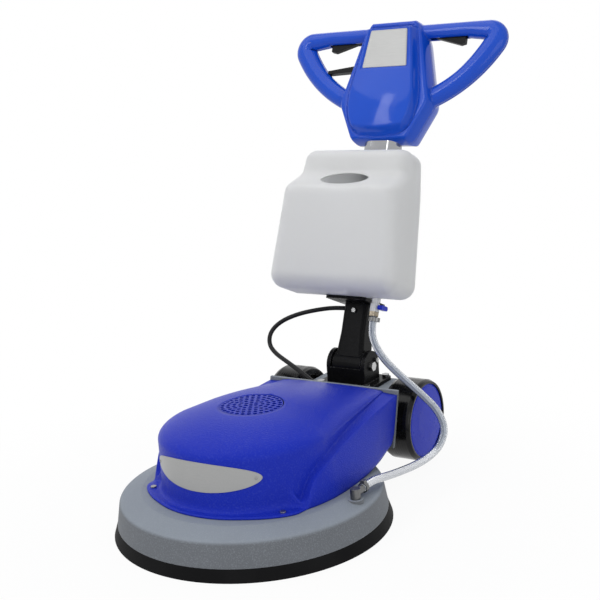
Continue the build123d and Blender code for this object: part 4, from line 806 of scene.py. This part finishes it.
def cover_vent():
    """Perforated crown of the cover: rings of cells about the vent's centre, six more in each ring. A cell is a
    ring of quads from its four-sided border to a round hole, and a short wall down from the hole."""
    counts = 6 * np.arange(1, VENT_RINGS + 1)
    ring = np.repeat(np.arange(1, VENT_RINGS + 1), counts)
    turn = np.concatenate([2 * pi * np.arange(count) / count for count in counts])
    around = 2 * pi * np.arange(VENT_SIDES) / VENT_SIDES
    centre = np.stack([np.cos(around), np.sin(around)])
    walk = centre / np.abs(centre).max(axis=0)
    edge_reach = (ring[:, None] + VENT_OVERLAP * walk[0]) * VENT_PITCH
    edge_turn = turn[:, None] + walk[1] * pi / (6 * ring[:, None]) * 1.01
    middle = ring[:, None] * VENT_PITCH
    hole_x = middle * np.cos(turn)[:, None] + VENT_HOLE * np.cos(around + turn[:, None])
    hole_y = middle * np.sin(turn)[:, None] + VENT_HOLE * np.sin(around + turn[:, None])
    middle_cell = VENT_OVERLAP * VENT_PITCH * centre
    edge_x = np.vstack([middle_cell[0], edge_reach * np.cos(edge_turn)])
    edge_y = np.vstack([middle_cell[1], edge_reach * np.sin(edge_turn)]) + VENT_BACK
    hole_x = np.vstack([VENT_HOLE * centre[0], hole_x])
    hole_y = np.vstack([VENT_HOLE * centre[1], hole_y]) + VENT_BACK
    border = np.stack([edge_x, edge_y, roof_height(edge_x, edge_y)], axis=-1)
    rim = np.stack([hole_x, hole_y, roof_height(hole_x, hole_y)], axis=-1)
    points = np.stack([border, rim, rim, rim - [0, 0, VENT_DEPTH]], axis=1)
    ring_quads = grid_quads(2, VENT_SIDES)
    cell = np.vstack([ring_quads, ring_quads + 2 * VENT_SIDES])
    faces = (cell[None] + 4 * VENT_SIDES * np.arange(len(points))[:, None, None]).reshape(-1, 4)
    vent = make_piece("cover_vent_plate", DECK + MM * points, faces, "cover_blue", "base")
    vent.data.materials[0] = cover_plastic("vent_plastic", 0.6)
    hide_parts("motor_cover")


# Control head, in millimetres along the handle: x to the right, out to the front, up from the pivot
HEAD_TOP = 703.0
HEAD_BOTTOM = 446.0
HEAD_CORNER = 14.0
HEAD_FRONT = 30.0
HEAD_FRONT_RUN = 13
HEAD_REAR = 38.0
HEAD_REAR_RUN = 16
PANEL_TOP = 684.0
PANEL_RISE = 15.0
PANEL_FOOT = 464
PANEL_FOOT_DIP = 5
PANEL_FOOT_HALF = 50
PANEL_SIDE_STEP = (-1, 7)
PANEL_FOOT_STEP = (-1, 15)
PANEL_CORNER = 9
PANEL_BELLY = 8
BELLY_FOOT = 460
BELLY_LENGTH = 138
PANEL_GROOVE = 2.8
GROOVE_AWAY = 2.2
GROOVE_WIDTH = 1.7
LABEL_LOW = 596.0
LABEL_HIGH = 675.0
LABEL_MIDDLE = (LABEL_HIGH + LABEL_LOW) / 2
LABEL_TALL = (LABEL_HIGH - LABEL_LOW) / 2
LABEL_CORNER = 4
LABEL_POCKET = 2.2
POCKET_STEP = (-3.4, -1.6)
LABEL_RISE = 0.9
LABEL_BEVEL = 0.6
LABEL_BEAD = 0.3
BEAD_INSIDE = 1.8
BEAD_WIDTH = 0.7
LABEL_STEPS = 90
# Half widths by height along the handle
HEAD_OUTLINE = ([446, 528, 664, 703], [66, 106, 72, 54])
HEAD_SOFT = 9
PANEL_OUTLINE = ([462, 468, 478, 495, 520, 545, PANEL_TOP], [44, 54, 63, 71, 76, 76, 53])
LABEL_OUTLINE = ([LABEL_LOW, LABEL_HIGH], [50, 41])
SLOPE_SHARE = 0.97  # distance from a sloping side over the distance across
PARTING_GAP = 0.25
HEAD_COLUMNS = 150
HEAD_ROWS = 190
# Grips: the bar's height, the bend and the bow, the thickness inwards by length along the grip
GRIP_OUTSIDE = 14.0
GRIP_DEPTH = 14.5
GRIP_UP = 679.0
GRIP_BEND_PLACE = (200, 657)
GRIP_BEND_RADIUS = 22
GRIP_BEND_TURN = radians(122)
GRIP_BOW_RADIUS = 274.7
GRIP_BOW_TURN = radians(36.1)
GRIP_GAP_TURN = 0.02  # keeps the two halves apart at the parting plane
GRIP_SIDES = 22
GRIP_BEND_STEPS = 26
GRIP_BOW_STEPS = 40
GRIP_THICK = ([0, 120, 165, 190, 240, 300, 385], [13.5, 13.5, 17, 20.5, 19.5, 17.5, 16.5])
SLOT_ENDS = (75.2, 156.8)
SLOT_HALF = 5.7
RELEASE_SLOT = (601, 629)
RELEASE_SLOT_HALF = 6.0
HEAD_WALL = 3.0
LABEL_WALL = 0.8


def on_head(points):
    """Places in metres of points along the handle given in millimetres."""
    x, out, up = np.moveaxis(MM * np.asarray(points), -1, 0)
    return PIVOT + x[..., None] * RIGHT + out[..., None] * OUT_FRONT + up[..., None] * UP_HANDLE


def head_half_width(up):
    """Half width of the head's outline: straight runs between its corners, softened each way, and rounded off
    at the top and bottom edges."""
    width = soft_line(up, *HEAD_OUTLINE, HEAD_SOFT)
    past = np.clip(np.maximum(up - HEAD_TOP, HEAD_BOTTOM - up) / HEAD_CORNER + 1, 0, 1)
    return width - HEAD_CORNER * (1 - np.sqrt(1 - past**2))


def edge_steps(count):
    """Shares from -1 to 1 that follow a sine, so that they lie closer near both ends."""
    return np.sin(pi / 2 * np.linspace(-1, 1, count))


def label_half_width(up):
    """Half width of the label at each height."""
    return np.interp(up, *LABEL_OUTLINE)


def head_relief(x, up):
    """Raised panel of the head's front: a step round its outline with a fine groove at its foot, a belly below
    the label that swells as a half sine, and a shallow pocket round the label."""
    panel_half = np.interp(up, *PANEL_OUTLINE)
    past_top = np.clip((up - PANEL_TOP) / PANEL_CORNER + 1, 0, 1)
    round_top = PANEL_CORNER * (1 - np.sqrt(1 - past_top**2))
    beside = np.minimum(SLOPE_SHARE * (panel_half - round_top - np.abs(x)), PANEL_TOP - up)
    above = up - PANEL_FOOT + PANEL_FOOT_DIP * (1 - np.clip(x / PANEL_FOOT_HALF, -1, 1) ** 2)
    rise = PANEL_RISE * ease(beside, *PANEL_SIDE_STEP) * ease(above, *PANEL_FOOT_STEP)
    foot = np.minimum(beside, above)
    groove = PANEL_GROOVE * np.exp(-(((foot + GROOVE_AWAY) / GROOVE_WIDTH) ** 2))
    across = np.clip(1 - (x / panel_half) ** 2, 0, 1)
    belly = PANEL_BELLY * np.sin(pi * np.clip((up - BELLY_FOOT) / BELLY_LENGTH, 0, 1)) * across
    inside = np.minimum(label_half_width(up) - np.abs(x), np.minimum(up - LABEL_LOW, LABEL_HIGH - up))
    pocket = LABEL_POCKET * ease(inside, *POCKET_STEP)
    return rise - groove + belly - pocket


def head_body(depth, run, relief):
    """Grid over the head's outline. Rows step up the handle and columns across it, both closer near the edges;
    the depth grows from the parting plane by one minus the cube of the share of a run that is left to the
    edge."""
    up = (HEAD_TOP + HEAD_BOTTOM) / 2 + (HEAD_TOP - HEAD_BOTTOM) / 2 * edge_steps(HEAD_ROWS)
    half = head_half_width(up)[:, None]
    x = half * edge_steps(HEAD_COLUMNS)
    up = np.broadcast_to(up[:, None], x.shape)
    inside = np.minimum(SLOPE_SHARE * (half - np.abs(x)), np.minimum(HEAD_TOP - up, up - HEAD_BOTTOM))
    left = 1 - np.clip(inside / run, 0, 1)
    out = PARTING_GAP + (abs(depth) - PARTING_GAP) * (1 - left**3)
    if relief:
        out = out + head_relief(x, up)
    slot = (x < 0) & (up > RELEASE_SLOT[0]) & (up < RELEASE_SLOT[1])
    out = np.where(slot, np.maximum(out, RELEASE_SLOT_HALF), out)
    return np.stack([x, np.sign(depth) * out, up], axis=-1)


def grip_line():
    """Plan line of the right grip and its inward direction: a straight top bar with close steps at the ends of
    the lever's slot, a tight bend, and a wide bow that turns on, back into the head."""
    before, along, after = np.linspace(40, 74, 8), np.linspace(76, 156, 24), np.linspace(158, 199, 10)
    bar = np.concatenate([before, [SLOT_ENDS[0] + 0.2], along, [SLOT_ENDS[1] - 0.2], after])
    bend = GRIP_BEND_TURN * np.linspace(0, 1, GRIP_BEND_STEPS)
    bow = GRIP_BEND_TURN + GRIP_BOW_TURN * np.linspace(0, 1, GRIP_BOW_STEPS)[1:]
    heading = np.concatenate([np.zeros(len(bar)), bend, bow])
    bend_x = GRIP_BEND_PLACE[0] + GRIP_BEND_RADIUS * np.sin(bend)
    bend_up = GRIP_BEND_PLACE[1] + GRIP_BEND_RADIUS * np.cos(bend)
    bow_x = bend_x[-1] + GRIP_BOW_RADIUS * (np.sin(bow) - sin(GRIP_BEND_TURN))
    bow_up = bend_up[-1] + GRIP_BOW_RADIUS * (np.cos(bow) - cos(GRIP_BEND_TURN))
    x = np.concatenate([bar, bend_x, bow_x])
    up = np.concatenate([np.full(len(bar), GRIP_UP), bend_up, bow_up])
    return x, up, -np.sin(heading), -np.cos(heading)


def grip_half(facing):
    """Half of the right grip in front of or behind the parting plane: half an ellipse carried along the grip's
    line. It thickens inwards at the bend, and along the switch lever's slot it starts clear of the parting
    plane."""
    x, up, inward_x, inward_up = grip_line()
    step = np.concatenate([[0], np.cumsum(np.hypot(np.diff(x), np.diff(up)))])
    thick = np.interp(step, *GRIP_THICK)
    slot = (x > SLOT_ENDS[0]) & (x < SLOT_ENDS[1]) & (up > GRIP_UP - 1)
    start = np.where(slot, np.arcsin(SLOT_HALF / GRIP_OUTSIDE), GRIP_GAP_TURN)
    angle = start + (pi - GRIP_GAP_TURN - start) * np.linspace(0, 1, GRIP_SIDES)[:, None]
    toward = thick * np.cos(angle) + thick - GRIP_OUTSIDE
    out = facing * GRIP_DEPTH * np.sin(angle)
    points = np.stack([x + inward_x * toward, out, up + inward_up * toward], axis=-1)
    return points if facing < 0 else points[:, ::-1]


def head_shell(name, node, depth, run, relief):
    """One moulded shell of the head: its body and half of both grips."""
    facing = 1 if depth > 0 else -1
    body = head_body(depth, run, relief)
    grip = grip_half(facing)
    other = grip[:, ::-1] * [-1, 1, 1]
    if facing < 0:
        body = body[:, ::-1]
    points = np.concatenate([grid.reshape(-1, 3) for grid in (body, grip, other)])
    faces = []
    count = 0
    for grid in (body, grip, other):
        faces.append(grid_quads(*grid.shape[:2], wrap=False) + count)
        count += grid.shape[0] * grid.shape[1]
    shell = make_piece(name, on_head(points), np.concatenate(faces), "head_blue", "handle")
    add_wall(shell, HEAD_WALL * MM)
    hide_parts(node)


def head_label():
    """Bare label plate with rounded corners: a grid over its outline, raised from an edge bevel, with a fine
    bead just inside its border."""
    share = edge_steps(LABEL_STEPS)
    rows = LABEL_MIDDLE + LABEL_TALL * share
    past = np.clip((np.abs(rows - LABEL_MIDDLE) - LABEL_TALL) / LABEL_CORNER + 1, 0, 1)
    half = (label_half_width(rows) - LABEL_CORNER * (1 - np.sqrt(1 - past**2)))[:, None]
    x = half * share
    up = np.broadcast_to(rows[:, None], x.shape)
    inside = np.minimum(half - np.abs(x), np.minimum(up - LABEL_LOW, LABEL_HIGH - up))
    bead = LABEL_BEAD * np.exp(-(((inside - BEAD_INSIDE) / BEAD_WIDTH) ** 2))
    out = HEAD_FRONT + PANEL_RISE - LABEL_POCKET + LABEL_RISE * ease(inside, 0, LABEL_BEVEL) + bead
    places = on_head(np.stack([x, out, up], axis=-1))
    faces = grid_quads(LABEL_STEPS, LABEL_STEPS, wrap=False)
    plate = make_piece("bare_head_label", places, faces, "plate", "handle")
    add_wall(plate, LABEL_WALL * MM)
    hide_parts("head_label")


# Solution tank, in millimetres along the handle
TANK_LOW = 125.0
TANK_HIGH = 408.0
TANK_BACK = 32.0
TANK_CORNER = 27.0
TANK_END_CORNER = 3
TANK_ROUND_LOW = 30.0
TANK_ROUND_HIGH = 20.0
TANK_SHOULDER = (313, 366)
TANK_SETBACK = 45
TANK_FRONT = ([TANK_LOW, 313], [143, 158])
TANK_WIDTH = ([TANK_LOW, 320, TANK_HIGH], [141, 126, 115])
TANK_WALL = 3.0
MOUTH_UP = 341.0
MOUTH_HALF = (51.0, 15.5)
MOUTH_BLOCK = (64.0, 23.0)
SIDE_STEPS = 24
CORNER_STEPS = 9
END_STEPS = 9
BELOW_ROWS = 24
MOUTH_ROWS = 22
ABOVE_ROWS = 8
MOUTH_RINGS = 7


def tank_front(up):
    """Depth of the tank's front: growing slowly up to the shoulder, then set back by a cubic step."""
    return np.interp(up, *TANK_FRONT) - TANK_SETBACK * ease(up, *TANK_SHOULDER)


def tank_section():
    """Closed outline of a rounded rectangle as parts: shares of its inner half sizes and the turn of its corner
    circle, walked along the front from right to left, then the left side, the back and the right side."""
    side = np.linspace(-1, 1, SIDE_STEPS + 2)[1:-1]
    arc = np.linspace(0, pi / 2, CORNER_STEPS)
    one, still = np.ones(CORNER_STEPS), np.ones(SIDE_STEPS)
    across = np.concatenate([-side, -one, -still, -one, side, one, still, one])
    depth = np.concatenate([still, one, -side, -one, -still, -one, side, one])
    left, back = pi, 1.5 * pi
    turns = [pi / 2 * still, pi / 2 + arc, left * still, left + arc, back * still, back + arc, 0 * still, arc]
    return across, depth, np.concatenate(turns)


def tank_rows():
    """Heights of the rows and how far each is drawn in: quarter circles at both ends, and rows that meet the
    lower and upper edge of the mouth's block."""
    quarter = np.linspace(0, pi / 2, END_STEPS)
    low = TANK_LOW + TANK_ROUND_LOW * (1 - np.cos(quarter))
    low_inset = TANK_ROUND_LOW * (1 - np.sin(quarter))
    high = TANK_HIGH - TANK_ROUND_HIGH * (1 - np.cos(quarter[::-1]))
    high_inset = TANK_ROUND_HIGH * (1 - np.sin(quarter[::-1]))
    below = np.linspace(low[-1], MOUTH_UP - MOUTH_BLOCK[1], BELOW_ROWS)[1:]
    beside = np.linspace(MOUTH_UP - MOUTH_BLOCK[1], MOUTH_UP + MOUTH_BLOCK[1], MOUTH_ROWS)[1:]
    above = np.linspace(MOUTH_UP + MOUTH_BLOCK[1], high[0], ABOVE_ROWS)[1:-1]
    up = np.concatenate([low, below, beside, above, high])
    inset = np.concatenate([low_inset, np.zeros(len(up) - 2 * END_STEPS), high_inset])
    return up[:, None], inset[:, None]


def solution_tank():
    """Tank: rounded rectangles stacked up the handle. A block of the front is left out round the oval mouth and
    filled by rings of points that run in straight lines from the block's border to the oval, at the front's
    own depth."""
    up, inset = tank_rows()
    across, depth, turn = tank_section()
    front, back = tank_front(up) - inset, TANK_BACK + inset
    half = np.interp(up, *TANK_WIDTH) - inset
    corner = np.maximum(TANK_CORNER - inset, TANK_END_CORNER)
    x = across * (half - corner) + corner * np.cos(turn)
    out = (front + back) / 2 + depth * ((front - back) / 2 - corner) + corner * np.sin(turn)
    points = np.stack([x, out, np.broadcast_to(up, x.shape)], axis=-1)
    rows, columns = x.shape
    index = np.arange(rows * columns).reshape(rows, columns)
    first = int(np.argmin(np.abs(up[:, 0] - MOUTH_UP + MOUTH_BLOCK[1])))
    last = int(np.argmin(np.abs(up[:, 0] - MOUTH_UP - MOUTH_BLOCK[1])))
    inner = np.flatnonzero(np.abs(x[first, :SIDE_STEPS]) < MOUTH_BLOCK[0])
    left, right = inner[0], inner[-1]
    quads = grid_quads(rows, columns).reshape(rows - 1, columns, 4)
    keep = np.ones((rows - 1, columns), bool)
    keep[first:last, left:right] = False
    low_side, high_side = index[first, left:right], index[last, right:left:-1]
    border = np.concatenate([low_side, index[first:last, right], high_side, index[last:first:-1, left]])
    edge = points.reshape(-1, 3)[border][:, [0, 2]]
    aim = np.arctan2((edge[:, 1] - MOUTH_UP) / MOUTH_BLOCK[1], edge[:, 0] / MOUTH_BLOCK[0])
    oval = np.stack([MOUTH_HALF[0] * np.cos(aim), MOUTH_UP + MOUTH_HALF[1] * np.sin(aim)], axis=-1)
    share = np.linspace(0, 1, MOUTH_RINGS + 1)[1:, None, None]
    flat = edge + (oval - edge) * share
    rings = np.stack([flat[..., 0], tank_front(flat[..., 1]), flat[..., 1]], axis=-1)
    count = len(border)
    added = rows * columns + np.arange(MOUTH_RINGS * count).reshape(MOUTH_RINGS, count)
    ring_index = np.vstack([border, added])
    ring_index = np.hstack([ring_index, ring_index[:, :1]])
    corners = [ring_index[:-1, :-1], ring_index[:-1, 1:], ring_index[1:, 1:], ring_index[1:, :-1]]
    ring_quads = np.stack(corners, axis=-1).reshape(-1, 4)
    faces = [*quads[keep], *ring_quads, index[0][::-1], index[-1]]
    places = on_head(np.concatenate([points.reshape(-1, 3), rings.reshape(-1, 3)]))
    tank = make_piece("blow_moulded_tank", places, faces, "tank_white", "handle")
    mend(tank, outward=True)
    add_wall(tank, TANK_WALL * MM)
    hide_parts("tank")


# Brush strands
STRAND_ROWS = 12
STRAND_PITCH = 9 * MM
STRAND_HALF = 1.3 * MM
STRAND_SPLAY = 0.8 * MM
STRAND_TIP = 0.6
ROW_TURN = 0.37
BRISTLE_INNER = 66 * MM


def brush_strands():
    """Square tapering strands on circles about the brush axis: circle radii run evenly from the inner to the
    outer edge of the bristle ring, each circle holds as many strands as its length over the pitch, and the
    tips lean outwards by the splay."""
    low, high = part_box("bristles")
    outer = (high.x - low.x) / 2 - 2 * STRAND_HALF
    inner = BRISTLE_INNER + 2 * STRAND_HALF
    radii = np.linspace(inner, outer, STRAND_ROWS)
    counts = (2 * pi * radii / STRAND_PITCH).astype(int)
    radius = np.repeat(radii, counts)
    step = np.concatenate([np.arange(count) / count for count in counts])
    angle = 2 * pi * step + np.repeat(np.arange(STRAND_ROWS) * ROW_TURN, counts)
    outward = np.c_[np.cos(angle), np.sin(angle), np.zeros_like(angle)]
    sideways = np.c_[-np.sin(angle), np.cos(angle), np.zeros_like(angle)]
    foot = DECK + radius[:, None] * outward + [0, 0, high.z]
    tip = foot + STRAND_SPLAY * outward - [0, 0, high.z - low.z]
    corner = np.array([(-1, -1), (1, -1), (1, 1), (-1, 1)])
    square = corner[None, :, :1] * outward[:, None] + corner[None, :, 1:] * sideways[:, None]
    top, end = STRAND_HALF * square, STRAND_TIP * STRAND_HALF * square
    points = np.concatenate([foot[:, None] + top, tip[:, None] + end], axis=1)
    one = np.array([(0, 1, 2, 3), (7, 6, 5, 4), (0, 4, 5, 1), (1, 5, 6, 2), (2, 6, 7, 3), (3, 7, 4, 0)])
    faces = (one[None] + 8 * np.arange(len(foot))[:, None, None]).reshape(-1, 4)
    strands = make_piece("brush_strands", points, faces, "bristle", "brush", smooth=False)
    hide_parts("bristles")


# Studio
FLOOR_HALF = 6.0
SHADOW_SHARE = 0.07
SHADOW_REACH = (0.3, 0.9)
# Lamps: place and face in metres, power in watts
LAMPS = [
    ("key_lamp", (-0.8, -0.4, 3.1), (3.0, 3.0), 34),
    ("window_lamp", (-1.2, -1.9, 2.1), (0.42, 1.5), 10),
    ("fill_lamp", (2.4, -1.4, 0.9), (2.4, 1.6), 15),
    ("back_lamp", (-0.8, 2.6, 2.2), (2.0, 2.0), 9),
]
LAMP_AIM = on_base(0, 0.2, 0.4)


def studio_floor():
    """Pale floor that reads as white to the camera and keeps a little of the shadow."""
    corners = FLOOR_HALF * np.array([(-1, -1, 0), (1, -1, 0), (1, 1, 0), (-1, 1, 0)])
    mesh = bpy.data.meshes.new("studio_floor")
    mesh.from_pydata(corners.tolist(), [], [(0, 1, 2, 3)])
    p = new_paint("studio_floor")
    shader = p.tree.nodes["Principled BSDF"]
    shader.inputs["Base Color"].default_value = rgb(0.8, 0.8, 0.79)
    shader.inputs["Roughness"].default_value = 0.9
    white = p.node("ShaderNodeEmission", None, {"Color": rgb(1, 1, 1), "Strength": 1.0})
    reach = p.length(p.place(centre=DECK))
    factor = seen_ray(p) * (1 - SHADOW_SHARE + SHADOW_SHARE * p.band(reach, *SHADOW_REACH))
    surface = p.node("ShaderNodeMixShader", None, {0: factor, 1: Wire(p, shader.outputs[0]), 2: white})
    p.feed(p.tree.nodes["Material Output"].inputs["Surface"], surface)
    mesh.materials.append(p.owner)
    floor = bpy.data.objects.new("studio_floor", mesh)
    bpy.context.scene.collection.objects.link(floor)


def seen_ray(p):
    """1 for what the camera sees straight on, in a mirror or through glass."""
    kinds = ("Is Camera Ray", "Is Glossy Ray", "Is Transmission Ray")
    straight, mirrored, through = (p.node("ShaderNodeLightPath", output=kind) for kind in kinds)
    seen = p.node("ShaderNodeMath", {"operation": "MAXIMUM"}, {0: straight, 1: mirrored})
    return p.node("ShaderNodeMath", {"operation": "MAXIMUM"}, {0: seen, 1: through})


def studio_world():
    """White room to the camera, softer as a light."""
    world = bpy.data.worlds.new("studio")
    p = Paint(world)
    shade = p.tree.nodes["Background"]
    shade.inputs["Color"].default_value = rgb(0.95, 0.97, 1.0)
    shade.inputs["Strength"].default_value = 0.62
    white = p.node("ShaderNodeBackground", None, {"Color": rgb(1, 1, 1), "Strength": 1.0})
    surface = p.node("ShaderNodeMixShader", None, {0: seen_ray(p), 1: Wire(p, shade.outputs[0]), 2: white})
    p.feed(p.tree.nodes["World Output"].inputs["Surface"], surface)
    bpy.context.scene.world = world


def studio_lamps():
    """Soft oblong lamps turned to the machine: a broad key from the left above, a tall narrow window in front,
    a weaker fill from the right and a soft light from behind."""
    for name, place, (width, height), power in LAMPS:
        data = bpy.data.lights.new(name, "AREA")
        data.shape = "RECTANGLE"
        data.size, data.size_y = width, height
        data.energy = power
        lamp = bpy.data.objects.new(name, data)
        spot = Vector(on_base(*place))
        turn = (Vector(LAMP_AIM) - spot).to_track_quat("-Z", "Y").to_matrix().to_4x4()
        lamp.matrix_world = Matrix.Translation(spot) @ turn
        bpy.context.scene.collection.objects.link(lamp)


photo_camera()
solution_hose()
motor_cable()
paint_nodes()
motor_cover()
cover_vent()
head_shell("moulded_head_front", "head_front_shell", HEAD_FRONT, HEAD_FRONT_RUN, True)
head_shell("moulded_head_rear", "head_rear_shell", -HEAD_REAR, HEAD_REAR_RUN, False)
head_label()
solution_tank()
brush_strands()
studio_floor()
studio_world()
studio_lamps()

bpy.context.scene.view_settings.view_transform = "Standard"
